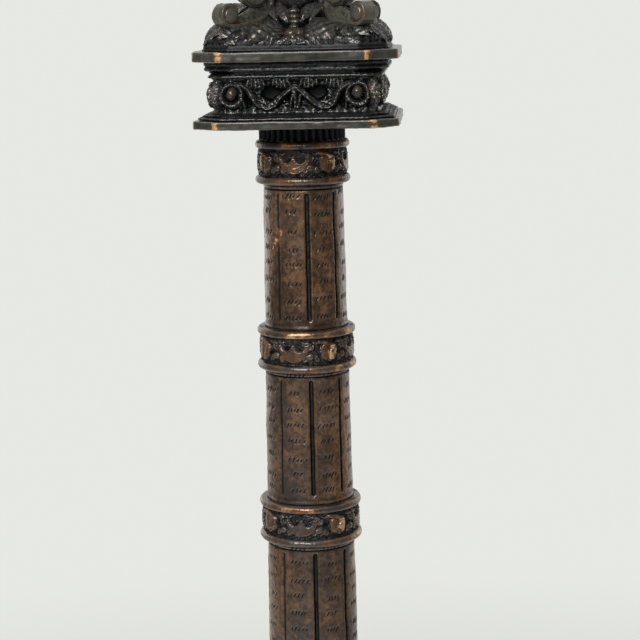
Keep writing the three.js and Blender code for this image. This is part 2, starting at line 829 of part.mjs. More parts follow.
// Adds one named casting to the candlestick, at a height and turned about Z.
function place(name, geometry, z, look = BRONZE, angle = 0) {
  const material = new THREE.MeshStandardMaterial(look);
  const mesh = new THREE.Mesh(geometry, material);
  mesh.name = name;
  mesh.position.z = z;
  mesh.rotation.z = angle;
  candlestick.add(mesh);
  return mesh;
}

// Places one mesh at each corner, out along its diagonal.
function placeAtCorners(name, geometry, z, look, reach = 0) {
  CORNERS.forEach((corner, i) => {
    const angle = CORNER_ANGLE + i * QUARTER;
    const mesh = place(`${name}_${corner}`, geometry, z, look, angle);
    [mesh.position.x, mesh.position.y] = radial(angle, reach);
  });
}

function addBase() {
  placeAtCorners("paw_foot", pawFoot(), 0, BRONZE, footReach);
  placeAtCorners("foot_screw", footScrew(), FOOT_HEIGHT, IRON, screwReach);
  place("base_plate", basePlate(), basePlateZ);
  const panels = friezeRing(BASE);
  const hill = leafyHill(BASE);
  SIDES.forEach((side, i) => {
    place(`base_panel_${side}`, geometryOf(quarterOf(panels, i * QUARTER)), basePanelZ);
    place(`base_hill_${side}`, geometryOf(quarterOf(hill, i * QUARTER)), baseHillZ);
  });
  const topHalf = BASE.plateHalf - BASE.edge;
  const top = cantedPlate(topHalf, BASE.topCut, BASE.topThick, BASE.edge);
  place("base_top_plate", geometryOf(top), baseTopZ);
  placeAtCorners("base_scroll", geometryOf(scrollBracket(BASE)), baseHillZ, BRONZE);
  place("base_knop", knop(), knopZ, RUBBED);
}

function addStem() {
  for (let i = 0; i < TUBE_COUNT; i++) {
    const band = i * TUBE_RISE;
    const tube = band + BAND_HEIGHT + SEAT_GAP;
    const length = i === TUBE_COUNT - 1 ? TOP_TUBE_LENGTH : TUBE_LENGTH;
    place(`stem_band_${i + 1}`, stemBand(band), stemZ + band, RUBBED);
    place(`stem_tube_${i + 1}`, stemTube(tube, length), stemZ + tube, RUBBED);
  }
  const topBand = STEM_HEIGHT - BAND_HEIGHT;
  place(`stem_band_${TUBE_COUNT + 1}`, stemBand(topBand), stemZ + topBand, RUBBED);
  place("fluted_neck", flutedNeck(), neckZ);
}

function addCapital() {
  const { plateHalf, plateCut, plateThick, edge } = CAPITAL;
  const plate = cantedPlate(plateHalf, plateCut, plateThick, edge);
  place("capital_plate", geometryOf(plate), capitalPlateZ);
  place("capital_frieze", geometryOf(friezeRing(CAPITAL)), capitalFriezeZ);
  const top = cantedPlate(plateHalf, CAPITAL.topCut, CAPITAL.topThick, edge);
  place("capital_top_plate", geometryOf(top), capitalTopZ);
  place("crown_hill", geometryOf(leafyHill(CAPITAL)), crownHillZ);
  placeAtCorners("crown_scroll", geometryOf(scrollBracket(CAPITAL)), crownHillZ, BRONZE);
  place("crown_vase", vase(), vaseZ);
  place("candle_socket", socket(), socketZ, RUBBED);
  place("drip_pan", dripPan(), socketZ, RUBBED);
}

function addTieRod() {
  const top = socketZ + ROD_IN_SOCKET;
  place("tie_rod", rod(ROD_RADIUS, basePlateZ - ROD_TAIL, top, SMALL_SIDES), 0, IRON);
  const washerZ = basePlateZ - SEAT_GAP - WASHER_THICK;
  const inner = ROD_RADIUS + ROD_GAP;
  const ring = turned([
    [inner, 0],
    [WASHER_RADIUS, 0],
    [WASHER_RADIUS, WASHER_THICK],
    [inner, WASHER_THICK],
    [inner, 0],
  ]);
  place("base_washer", ring, washerZ, IRON);
  place("base_nut", nut(), washerZ - SEAT_GAP - NUT_HEIGHT, IRON);
}

addBase();
addStem();
addCapital();
addTieRod();

export default candlestick;
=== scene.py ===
"""Finishes a cast-bronze paschal candlestick: carved surfaces, patina, camera and studio.

Everything is in metres, +Z up, with the front face towards -Y.
"""
import math

import bmesh
import bpy
import numpy as np
from bpy.props import FloatProperty, FloatVectorProperty, IntProperty, PointerProperty
from mathutils import Matrix, Vector


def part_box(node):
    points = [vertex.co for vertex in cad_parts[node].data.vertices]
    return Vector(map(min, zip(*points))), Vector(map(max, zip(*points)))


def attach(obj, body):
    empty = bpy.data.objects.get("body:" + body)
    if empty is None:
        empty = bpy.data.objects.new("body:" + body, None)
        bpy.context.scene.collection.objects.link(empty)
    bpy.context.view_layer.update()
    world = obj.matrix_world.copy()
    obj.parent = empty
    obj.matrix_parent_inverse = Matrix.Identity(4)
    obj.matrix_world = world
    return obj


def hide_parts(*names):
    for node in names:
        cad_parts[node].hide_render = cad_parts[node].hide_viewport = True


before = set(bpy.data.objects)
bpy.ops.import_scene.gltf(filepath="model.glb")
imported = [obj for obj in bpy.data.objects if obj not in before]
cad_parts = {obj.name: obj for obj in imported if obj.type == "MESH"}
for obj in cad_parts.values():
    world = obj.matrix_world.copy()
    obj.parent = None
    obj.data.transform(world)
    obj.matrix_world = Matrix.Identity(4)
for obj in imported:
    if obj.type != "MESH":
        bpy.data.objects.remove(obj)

bl_info = {
    "name": "Paschal candlestick",
    "version": (1, 0, 0),
    "blender": (4, 5, 0),
    "location": "View3D > Sidebar > Candlestick",
    "description": "Carves and finishes a cast-bronze paschal candlestick",
    "category": "Add Mesh",
}

MM = 0.001
TAU = 2 * math.pi
QUARTER = math.pi / 2
STAND = "candlestick"
PAN = "drip_pan"
SIDES = ("front", "right", "back", "left")
CORNERS = ("front_right", "back_right", "back_left", "front_left")
SEAT_GAP = 0.3 * MM
ROD_HOLE = 6.4 * MM
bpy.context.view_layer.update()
TUBE_BORE = 18 * MM
BAND_BORE = 22.3 * MM
NECK_BORE = 20 * MM
FRONT = 3 * QUARTER  # the way to -Y, as an angle from +X
TOP_RUB = (math.radians(-128), 58 * MM, 3.0 * MM, 9 * MM, 0.6)  # on the top tube

# Each finish: its slot, the colour it starts from and how many times lighter, and then its
# shares of copper, pale specks (bloom and painted glints) and olive skin, its bump, how
# readily it rubs bright, and its veil.
FINISHES = {
    "stem_finish": ("stem_bronze", "red_patina", 1, (0.72, 0.3, 0.0, 0.3, 0.97, 0.08)),
    "band_finish": ("stem_bronze", "red_patina", 1, (0.5, 0.3, 0.0, 0.3, 1.0, 0.12)),
    "rubbed_finish": ("rubbed_bronze", "dark_patina", 1, (0.35, 0.4, 0.6, 0.25, 1.0, 0.0)),
    # The brackets' olive skin made 1.75 times lighter: real olive in part, and in part painted
    # light, as if the ribbons were lit.
    "bracket_finish": ("dark_bronze", "olive", 1.75, (0.22, 0.7, 0.2, 0.4, 0.6, 0.0)),
    "plate_finish": ("dark_bronze", "dark_patina", 1, (0.15, 0.3, 0.95, 0.2, 0.8, 0.0)),
    "dark_finish": ("dark_bronze", "dark_patina", 1, (0.05, 0.8, 0.5, 0.4, 0.3, 0.0)),
}
IRON = (0.055, 0.052, 0.05)
RUST = (0.11, 0.045, 0.022)

# Each lamp: its place, its size in metres and its power in watts.
LAMPS = {
    "left_softbox": ((-1.15, 1.15, 1.1), 1.3, 3),
    "right_softbox": ((1.15, 1.15, 1.1), 1.3, 3),
    "front_softbox": ((-0.4, -1.85, 2.0), 1.2, 42),
}
LAMP_TARGET = (0, 0, 0.75)
PAW_OFFSET = 17 * MM  # of a foot's middle past its screw
MOTIFS = 8  # leaves and shields round a band
TUBE_ROWS, TUBE_COLUMNS = 106, 288
BAND_ROWS, BAND_COLUMNS = 48, 344
NECK_COLUMNS = 504

# The first seed of each kind of casting's random draws.
TUBE_SEED, BAND_SEED, PLATE_SEED, FRIEZE_SEED, HILL_SEED, SCROLL_SEED = range(100, 700, 100)


# Settings

def count_setting(name, description, default):
    """A whole number, 0 or more."""
    return IntProperty(name=name, description=description, default=default, min=0)


def number_setting(name, description, default):
    """A plain number."""
    return FloatProperty(name=name, description=description, default=default)


def length_setting(name, description, millimetres):
    """A length, whose default is given in millimetres."""
    return FloatProperty(name=name, description=description, default=millimetres * MM,
                         unit="LENGTH")


def angle_setting(name, description, degrees):
    """An angle, whose default is given in degrees."""
    return FloatProperty(name=name, description=description, default=math.radians(degrees),
                         subtype="ANGLE")


def colour_setting(name, description, *rgb):
    """A linear colour."""
    return FloatVectorProperty(name=name, description=description, default=rgb, size=3,
                               subtype="COLOR")


class StemSettings(bpy.types.PropertyGroup):
    """The stem's grooves, chisel marks and bands."""

    groove_count: count_setting("Grooves", "Grooves round each tube", 8)
    groove_turn: angle_setting("Groove turn", "Turn of the first groove from the front", 9)
    groove_width: length_setting("Groove width", "Width of a groove", 3.3)
    groove_depth: length_setting("Groove depth", "Depth of a groove", 1.6)
    faint_groove: count_setting(
        "Faint groove", "The groove that is worn shallow, from the first", 7)
    mark_rise: length_setting(
        "Row spacing", "Height from one row of chisel marks to the next", 11.0)
    mark_depth: length_setting("Mark depth", "Depth of a chisel mark", 0.6)
    relief: length_setting("Band relief", "Height of the ornament on the bands", 2.0)
    motif_turn: angle_setting(
        "Ornament turn", "Turn of the bands' first leaf from the front", -7)


class FinishSettings(bpy.types.PropertyGroup):
    """The colours of the bronze, from the deepest grime and painted shade to the most rubbed edge.
    """

    # Near black: dirt in the hollows, and painted shade where the hollows are deepest.
    grime_and_shade: colour_setting("Grime", "Colour in the hollows", 0.004, 0.0045, 0.0045)
    deposit: colour_setting(
        "Groove deposit", "Teal-grey crust on the floor of the grooves", 0.036, 0.047, 0.046)
    dark_patina: colour_setting("Dark patina", "Capital and base", 0.0095, 0.01, 0.009)
    red_patina: colour_setting("Red patina", "Stem", 0.061, 0.032, 0.015)
    olive: colour_setting(
        "Olive skin", "Plates and raised leaves that hands pass", 0.054, 0.052, 0.04)
    copper: colour_setting("Rubbed copper", "Patches worn by hands", 0.21, 0.092, 0.03)
    brass: colour_setting("Rubbed brass", "Edges worn bright", 0.6, 0.4, 0.21)
    # Pale bloom in broad veils, and pale specks that are painted glints on the dark castings.
    bloom_and_glints: colour_setting(
        "Pale bloom", "Specks of bloom on the dark castings", 0.17, 0.2, 0.215)


class StageSettings(bpy.types.PropertyGroup):
    """The camera's place and the studio."""

    distance: length_setting("Distance", "From the camera to the stem's axis", 1159.9)
    above_plate: length_setting("Height", "Camera height above the capital's top plate", 30.5)
    azimuth: angle_setting(
        "Azimuth", "The camera's turn from the front, towards the right", 4.4)
    pitch: angle_setting("Pitch", "How far the camera looks down", 10.04)
    pan: angle_setting("Pan", "The camera's turn away from the axis", 0.438)
    roll: angle_setting("Roll", "The camera's tilt about its line of sight", -1.257)
    lens: number_setting("Lens", "Focal length in millimetres on a 36 mm sensor", 102.0)
    floor_colour: colour_setting("Floor", "Colour of the floor", 0.8, 0.81, 0.79)
    back_colour: colour_setting("Background", "Colour behind the object", 0.8, 0.81, 0.775)
    front_share: number_setting(
        "Front reflection", "Brightness of what metal mirrors from the front", 0.12)
    top_share: number_setting(
        "Top reflection", "Brightness of what metal mirrors from above", 0.8)
    ambient: number_setting("Ambient", "Strength of the surrounding light", 0.5)


class CandlestickSettings(bpy.types.PropertyGroup):
    """Everything that can be set on the candlestick."""

    stem: PointerProperty(type=StemSettings)
    finish: PointerProperty(type=FinishSettings)
    stage: PointerProperty(type=StageSettings)


# Grids

def ramp(low, high, x):
    """A smooth step: 0 below low, 1 above high, and a cubic ease between them."""
    t = np.clip((x - low) / (high - low), 0, 1)
    return t * t * (3 - 2 * t)


def shifted(grid, steps, axis, wrap):
    """The grid moved by some rows or columns. Its ends repeat where it doesn't wrap."""
    count = grid.shape[axis]
    index = np.arange(count) + steps
    index = index % count if wrap else np.clip(index, 0, count - 1)
    return np.take(grid, index, axis)


def unit(vectors):
    """The vectors, each made 1 long."""
    return vectors / np.maximum(np.linalg.norm(vectors, axis=-1, keepdims=True), 1e-12)


def flattened(x, power):
    """x with its size raised to a power and its sign kept."""
    return np.sign(x) * np.abs(x) ** power


def grid_normals(points, wrap_rows):
    """Unit normals of a grid whose columns wrap: the cross product of its steps both ways."""
    along = shifted(points, 1, 1, True) - shifted(points, -1, 1, True)
    up = shifted(points, 1, 0, wrap_rows) - shifted(points, -1, 0, wrap_rows)
    return unit(np.cross(along, up))


def raised(points, height, wrap_rows=False):
    """The points moved along their normals by a height."""
    return points + grid_normals(points, wrap_rows) * height[..., None]


def edge_wear(points, gain, reach, wrap_rows=False):
    """Wear from the shape, from -1 in hollows to 1 on edges.

    It is how far a point stands out from the middle of its neighbours, over their distance.
    """
    normals = grid_normals(points, wrap_rows)
    wear = np.zeros(points.shape[:2])
    for axis, wrap in ((0, wrap_rows), (1, True)):
        before = shifted(points, -reach, axis, wrap)
        after = shifted(points, reach, axis, wrap)
        stands = ((points - (before + after) / 2) * normals).sum(-1)
        wear += stands / np.maximum(np.linalg.norm(after - before, axis=-1), 1e-5)
    return np.clip(gain * wear, -1, 1)


def lumps(points, size, seed, waves=14):
    """Smooth noise of about unit height: a sum of plane waves, each about size long."""
    rng = np.random.default_rng(seed)
    total = np.zeros(points.shape[:-1])
    for _ in range(waves):
        direction = rng.normal(size=3)
        direction *= TAU / size * rng.uniform(0.7, 1.4) / np.linalg.norm(direction)
        total += np.sin(points @ direction + rng.uniform(0, TAU))
    return total / math.sqrt(waves / 2)


def curve(points, steps):
    """A Catmull-Rom curve through a list of points, with its ends doubled."""
    p = np.array(points, float)
    p = np.concatenate((2 * p[:1] - p[1:2], p, 2 * p[-1:] - p[-2:-1]))
    t = np.linspace(0, 1, steps, endpoint=False)[None, :, None]
    a, b, c, d = (p[i:len(p) - 3 + i, None] for i in range(4))
    cubic = (2 * b + (c - a) * t + (2 * a - 5 * b + 4 * c - d) * t ** 2
             + (3 * b - a - 3 * c + d) * t ** 3) / 2
    return np.concatenate((cubic.reshape(-1, p.shape[1]), p[-2:-1]))


def resampled(points, count):
    """A polyline's points spread evenly along its length."""
    points = np.array(points, float)
    steps = np.linalg.norm(np.diff(points, axis=0), axis=1)
    length = np.concatenate(([0], np.cumsum(steps)))
    at = np.linspace(0, length[-1], count)
    return np.stack([np.interp(at, length, column) for column in points.T], -1)


def turned_by(points, angle):
    """The points turned about Z."""
    x, y, z = np.moveaxis(points, -1, 0)
    cos, sin = math.cos(angle), math.sin(angle)
    return np.stack((x * cos - y * sin, x * sin + y * cos, z), -1)


# Meshes

def grid_faces(rows, columns, wrap_rows, wrap_columns):
    """Quads of a rows by columns grid. Each joins a point to the next column and the next row."""
    r = np.arange(rows if wrap_rows else rows - 1)
    c = np.arange(columns if wrap_columns else columns - 1)
    r, c = np.meshgrid(r, c, indexing="ij")
    up, on = (r + 1) % rows, (c + 1) % columns
    corners = (r * columns + c, r * columns + on, up * columns + on, up * columns + c)
    return np.stack(corners, -1).reshape(-1, 4)


def outward(points, faces):
    """The faces, turned round if together they hold a negative volume."""
    a, b, c, d = (points[faces[:, i]] for i in range(4))
    volume = (a * np.cross(b, c)).sum() + (a * np.cross(c, d)).sum()
    return faces if volume > 0 else faces[:, ::-1]


def surface(points, wear, wrap_rows=False, wrap_columns=True, caps=None):
    """A closed grid as (points, faces, wear), with any extra faces that close its ends."""
    faces = grid_faces(*points.shape[:2], wrap_rows, wrap_columns)
    if caps is not None:
        faces = np.concatenate((faces, caps))
    flat = points.reshape(-1, 3)
    return flat, outward(flat, faces), wear.reshape(-1)


def shell(outside, inside, wear, closed=True):
    """A wall between two grids. Open ends get caps, and both grids then have the same rows."""
    rows, columns = outside.shape[:2]
    points = np.concatenate((outside, inside[::-1]))
    caps = None
    if not closed:
        low = np.arange(rows - 1)
        high = 2 * rows - 1 - low
        ring = np.stack((low, low + 1, high - 1, high), -1) * columns
        caps = np.concatenate((ring, (ring + columns - 1)[:, ::-1]))
    plain = np.full(inside.shape[:2], -0.2)
    return surface(points, np.concatenate((wear, plain)), True, closed, caps)


def make_piece(name, surfaces, finish, replaced=None, weld=False, body=STAND):
    """One mesh object from several surfaces, riding on a body and standing for a CAD node."""
    starts = np.cumsum([0] + [len(s[0]) for s in surfaces[:-1]])
    points = np.concatenate([s[0] for s in surfaces]).astype(np.float32)
    faces = np.concatenate([s[1] + start for s, start in zip(surfaces, starts)])
    wear = np.concatenate([s[2] for s in surfaces]).astype(np.float32)
    mesh = bpy.data.meshes.new(name)
    mesh.vertices.add(len(points))
    mesh.vertices.foreach_set("co", points.ravel())
    mesh.loops.add(faces.size)
    mesh.loops.foreach_set("vertex_index", faces.astype(np.int32).ravel())
    mesh.polygons.add(len(faces))
    mesh.polygons.foreach_set("loop_start", np.arange(0, faces.size, 4, dtype=np.int32))
    mesh.update(calc_edges=True)
    mesh.attributes.new("wear", "FLOAT", "POINT").data.foreach_set("value", wear)
    if weld:
        cage = bmesh.new()
        cage.from_mesh(mesh)
        bmesh.ops.remove_doubles(cage, verts=cage.verts, dist=1e-6)
        cage.to_mesh(mesh)
        cage.free()
    mesh.validate()
    mesh.shade_smooth()
    mesh.materials.append(finish_of(finish))
    piece = bpy.data.objects.new(name, mesh)
    bpy.context.scene.collection.objects.link(piece)
    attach(piece, body)
    if replaced:
        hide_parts(replaced)


def round_points(radius, z, angle):
    """Points at a radius and a height: (radius cos angle, radius sin angle, z)."""
    radius, z, angle = np.broadcast_arrays(radius, z, angle)
    return np.stack((radius * np.cos(angle), radius * np.sin(angle), z), -1)


def angles(columns):
    """Angles all the way round, as one row."""
    return np.linspace(0, TAU, columns, endpoint=False)[None, :]


def bored(points, wear, radius, low, high, angle):
    """A casting's outer grid, closed by a round hole through it from low to high."""
    hole = round_points(radius, np.array([[high], [low]]), angle)
    wear = np.concatenate((wear, np.zeros(hole.shape[:2])))
    return surface(np.concatenate((points, hole)), wear, True)


def nodes_named(start):
    """The CAD nodes whose names start so, in order."""
    return sorted(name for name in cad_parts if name.startswith(start))


def node_z(node):
    """The lowest and highest height of a CAD node."""
    low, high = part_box(node)
    return low.z, high.z


def node_radius(node):
    """Half of a CAD node's width."""
    low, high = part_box(node)
    return (high.x - low.x) / 2


# Forms that several castings share

def tapered(u, v, start, end):
    """Distance to a bar with round ends, each given as (u, v, radius). It is negative inside."""
    u0, v0, r0 = start
    u1, v1, r1 = end
    du, dv = u1 - u0, v1 - v0
    along = np.clip(((u - u0) * du + (v - v0) * dv) / (du * du + dv * dv), 0, 1)
    return np.hypot(u - u0 - along * du, v - v0 - along * dv) - r0 - along * (r1 - r0)


def stroke(u, v, path, width):
    """A round-topped ridge along a path: sqrt(1 - (d / width)^2) at distance d from it."""
    away = np.full(np.broadcast(u, v).shape, np.inf)
    for (u0, v0), (u1, v1) in zip(path[:-1], path[1:]):
        away = np.minimum(away, tapered(u, v, (u0, v0, 0), (u1, v1, 0)))
    return np.sqrt(np.clip(1 - (away / width) ** 2, 0, 1))


def dome(u, v, u0, v0, wide, tall):
    """A half ellipsoid, 1 high over (u0, v0) and 0 from its rim on."""
    away = np.hypot((u - u0) / wide, (v - v0) / tall)
    return np.sqrt(np.clip(1 - away ** 2, 0, 1))


def ball(centre, radii, lobes, depth, rows, columns):
    """An ellipsoid whose radius swells in lobes round Z, by depth |cos(lobes a / 2)|."""
    tilt = np.linspace(-QUARTER, QUARTER, rows)[:, None]
    angle = angles(columns)
    swell = 1 + depth * (np.abs(np.cos(lobes * angle / 2)) - 0.6) * np.cos(tilt) ** 0.5
    return round_points(np.cos(tilt) * swell, np.sin(tilt), angle) * radii + centre


def leaf(root, tip, out, width, bulge, lobes, curl, rows=30, feather=0.045):
    """A leaf blade from root to tip, as a closed flat tube.

    The spine is a parabola that bows by bulge along out, and lifts by curl at its tip. The half
    width is width / 2 times sin(pi t^0.8) and notched edges. The front has a middle vein and
    side veins, feather times the width high, that slant to the tip. The back is a thin belly.
    """
    t = np.linspace(0, 1, rows)[:, None]
    spine = root + (tip - root) * t + out * (4 * bulge * t * (1 - t) + curl * t ** 4)
    along = unit(np.gradient(spine, axis=0))
    side = unit(np.cross(along, out))
    face = np.cross(side, along)
    notch = 0.80 + 0.20 * np.abs(np.cos(lobes * math.pi * t ** 0.9))
    half = width / 2 * np.sin(math.pi * t ** 0.8) ** 0.75 * notch
    a = np.sin(np.linspace(-QUARTER, QUARTER, 11))[None, :]
    crown = width * 0.17 * (1 - a ** 2)
    vein = width * 0.07 * np.exp(-(a / 0.13) ** 2)
    slant = np.cos(TAU * (lobes * 1.5 * t ** 0.9 + 0.9 * np.abs(a)))
    ribs = width * feather * slant * (1 - a ** 2) * (1 - np.exp(-(a / 0.15) ** 2))
    belly = -width * 0.10 * (1 - a[:, ::-1] ** 2)
    fade = np.sin(math.pi * t) ** 0.4
    front, back = (
        spine[:, None] + side[:, None] * (half * x)[..., None]
        + face[:, None] * (height * fade)[..., None]
        for x, height in ((a, crown + vein + ribs), (a[:, ::-1], belly)))
    return np.concatenate((front, back[:, 1:-1]), axis=1)


def limb(path, radius, columns, across=(0, 1, 0.01), closing=5, lobes=0, depth=0.0):
    """A tube along a path, radius (1 + depth cos(lobes a)) wide, with rounded ends.

    Across is a way that the path never takes. The larger closing is, the shorter the ends.
    """
    along = unit(np.gradient(path, axis=0))
    side = unit(np.cross(along, across))
    other = np.cross(along, side)
    ends = np.sin(math.pi * np.linspace(0, 1, len(path)))
    angle = angles(columns)
    size = (radius * np.sqrt(np.clip(ends * closing, 0, 1)))[:, None] * (
        1 + depth * np.cos(lobes * angle))
    return path[:, None] + size[..., None] * (
        side[:, None] * np.cos(angle)[..., None] + other[:, None] * np.sin(angle)[..., None])


def swept(path, wide, thick):
    """A ribbon along a path in the plane y = 0, its width along Y, with rounded edges.

    The section is a rounded oblong, |cos|^0.35 thick and |sin|^0.35 wide, and the middle of
    both broad faces is hollowed by 0.22 of the thickness.
    """
    across = np.array((0.0, 1.0, 0.0))
    normal = np.cross(unit(np.gradient(path, axis=0)), across)
    broad = flattened(np.sin(-angles(36)), 0.35)
    high = flattened(np.cos(-angles(36)), 0.35)
    dish = 1 - 0.22 * np.cos(math.pi * broad / 2) ** 2
    points = path[:, None] + across * (wide[:, None] / 2 * broad)[..., None]
    return points + normal[:, None] * (thick[:, None] / 2 * high * dish)[..., None]


def turned_shell(profile, z, columns, rows, relief):
    """A turned wall over z. Its section is a loop of (radius, height) corners in millimetres."""
    closed = profile[0][0] > 0
    profile = [(r * MM, h * MM + z) for r, h in profile]
    loop = resampled(profile + [profile[0]], rows + 1)[:-1] if closed else resampled(
        profile, rows)
    radius, height, angle = loop[:, :1], loop[:, 1:], angles(columns)
    points = round_points(radius, height, angle)
    points = raised(points, relief(radius, height, angle), closed)
    return surface(points, edge_wear(points, 2.4, 2, closed), closed)


# Canted-square castings

class Casting:
    """Sizes of one canted-square casting, in metres: its frieze ring and the leafy hill on it."""

    def __init__(self, **sizes):
        for name, size in sizes.items():
            setattr(self, name, size * MM)
        self.scale = self.frieze_height / (21.1 * MM)
        self.span = (self.wall_half - self.frieze_cut * (1 - math.sqrt(0.5))) / (48.86 * MM)
        self.spread = self.hill_half / (57.5 * MM)


CAPITAL = Casting(
    plate_cut=14.5, top_cut=18, edge=1, step_half=60.5, step_height=4, wall_half=51.5,
    frieze_cut=9, frieze_height=21.1, bulge=2.5, wall=5, ledge_half=54, ledge_height=4.4,
    shelf_half=57, shelf_height=5.4, hill_half=57.5, hill_foot=4, hill_shelf_half=47,
    hill_shelf_height=12.5, neck_half=15.5, hill_height=58, hill_wall=3.5, roll_radius=8,
    roll_reach=58.5, roll_rise=21.4, volute_radius=13.3, volute_reach=37, volute_rise=37.2,
    ribbon=3.5, dip_reach=50, scroll_width=10.5)
BASE = Casting(
    plate_cut=36, top_cut=38, edge=2.2, step_half=140, step_height=9, wall_half=116,
    frieze_cut=22, frieze_height=50, bulge=7, wall=7, ledge_half=126, ledge_height=12,
    shelf_half=133, shelf_height=12, hill_half=134, hill_foot=9, hill_shelf_half=108,
    hill_shelf_height=27, neck_half=34, hill_height=130, hill_wall=6, roll_radius=16.8,
    roll_reach=134, roll_rise=53, volute_radius=29, volute_reach=86, volute_rise=88,
    ribbon=8, dip_reach=110, scroll_width=23)


# Corners of the frieze ring's foot: share of the step's width and of its height.
FOOT_STEPS = ((0.9, 0), (1, 0.08), (1, 0.30), (0.88, 0.38), (0.74, 0.42), (0.70, 0.62),
              (0.50, 0.66), (0.42, 0.86), (0.16, 0.92), (0, 1))
# Corners of its cornice: edge widths set back, which cut, share of the height, edge widths up.
LEDGE_STEPS = ((1, "frieze_cut", 0, 0.2), (0, "frieze_cut", 0, 0.8),
               (0.5, "frieze_cut", 0.42, 0), (1.3, "frieze_cut", 0.5, 0),
               (0.9, "top_cut", 0.62, 0), (0, "top_cut", 0.72, 0), (0, "top_cut", 1, -0.2))
SHELF_STEPS = ((0.6, "top_cut", 0, 0), (0, "top_cut", 0.12, 0), (0, "top_cut", 0.32, 0),
               (0.8, "top_cut", 0.4, 0), (0.7, "top_cut", 0.56, 0), (0, "top_cut", 0.64, 0),
               (0, "top_cut", 1, -0.3), (0.4, "top_cut", 1, 0))
HILL_COLUMNS = (116, 32)  # of a face and of a corner


def canted_ring(half, cut, face_columns, corner_columns, soften):
    """Rows round a square with cut corners, for half widths and cuts given as columns.

    It gives the x and y of each point, its distance along the outline from the middle of the
    nearest side, and its distance from the middle of the nearest corner. A moving average over
    soften columns rounds the corners.
    """
    flat = half - cut
    corners = [(-flat, -half), (flat, -half), (half, -flat), (half, flat),
               (flat, half), (-flat, half), (-half, flat), (-half, -flat)]
    xs, ys, along, off = [], [], [], []
    reach = flat + cut / math.sqrt(2)
    for i in range(8):
        count = corner_columns if i % 2 else face_columns
        share = (np.arange(count) / count)[None, :]
        (x0, y0), (x1, y1) = corners[i], corners[(i + 1) % 8]
        xs.append(x0 + (x1 - x0) * share)
        ys.append(y0 + (y1 - y0) * share)
        if i % 2:
            past = cut * math.sqrt(2) * share
            position = np.where(share < 0.5, flat + past, past - cut * math.sqrt(2) - flat)
        else:
            position = 2 * flat * (share - 0.5)
        along.append(position)
        off.append(reach - np.abs(position))
    x, y = np.concatenate(xs, 1), np.concatenate(ys, 1)
    for _ in range(2):
        x = sum(np.roll(x, i, 1) for i in range(-soften, soften + 1)) / (2 * soften + 1)
        y = sum(np.roll(y, i, 1) for i in range(-soften, soften + 1)) / (2 * soften + 1)
    return x, y, np.concatenate(along, 1), np.concatenate(off, 1)


def canted_points(rows, z, face_columns, corner_columns, soften):
    """Points on (half, cut, height) rows above z, with their along and off distances."""
    half, cut, height = (rows[:, i:i + 1] for i in range(3))
    x, y, along, off = canted_ring(half, cut, face_columns, corner_columns, soften)
    return np.stack((x, y, z + height + 0 * x), -1), along, off


def plate_surface(node, cut, edge, seed):
    """A cast plate: rounded edges with a thin fillet, and a slightly uneven skin."""
    low, high = node_z(node)
    half = node_radius(node)
    thick = high - low
    swing = np.linspace(-QUARTER, QUARTER, 13)
    lower, upper = (
        [(half - edge + edge * math.cos(a), cut, middle + edge * math.sin(a)) for a in arc]
        for middle, arc in ((edge, swing[:7]), (thick - edge, swing[6:])))
    belly = [(half - 0.05 * edge, cut, thick * share) for share in (0.35, 0.5, 0.65)]
    inset = [(half - step * edge, cut, 0) for step in (8, 4, 2, 1.4)]
    rows = np.array(inset + lower + belly + upper
                    + [(h, c, thick) for h, c, _ in reversed(inset)])
    points, _, off = canted_points(rows, low, 66, 20, 1)
    outer = rows[:, :1] > half - 1.2 * edge
    height = 0.16 * lumps(points, 26 * edge, seed) + 0.07 * lumps(points, 5 * edge, seed + 1)
    points = raised(points, edge * height * outer)
    wear = edge_wear(points, 1.9, 1)
    arris = np.exp(-(np.abs(off - cut / math.sqrt(2)) / (2.4 * edge)) ** 2)
    patchy = 0.75 + 0.35 * lumps(points, 4 * edge, seed + 2) + 0.2 * lumps(points, edge, seed + 3)
    handled = np.where(np.abs(points[..., 1]) > np.abs(points[..., 0]), 1.15, 0.45)
    wear = np.clip(wear + (0.3 + handled * arris * np.clip(patchy, 0, 1.2)) * outer, -1, 1.5)
    angle = np.arctan2(points[:1, :, 1], points[:1, :, 0])
    return bored(points, wear, ROD_HOLE, low, high, angle)


GARLAND = ((0, 5.8), (5.2, 1.9), (10, -2.9), (13, -6.3), (17.7, -7.7), (22.5, -5.8),
           (25.4, -1), (28.3, 3.8), (32, 6.7), (36, 7.2), (39.5, 8.4))


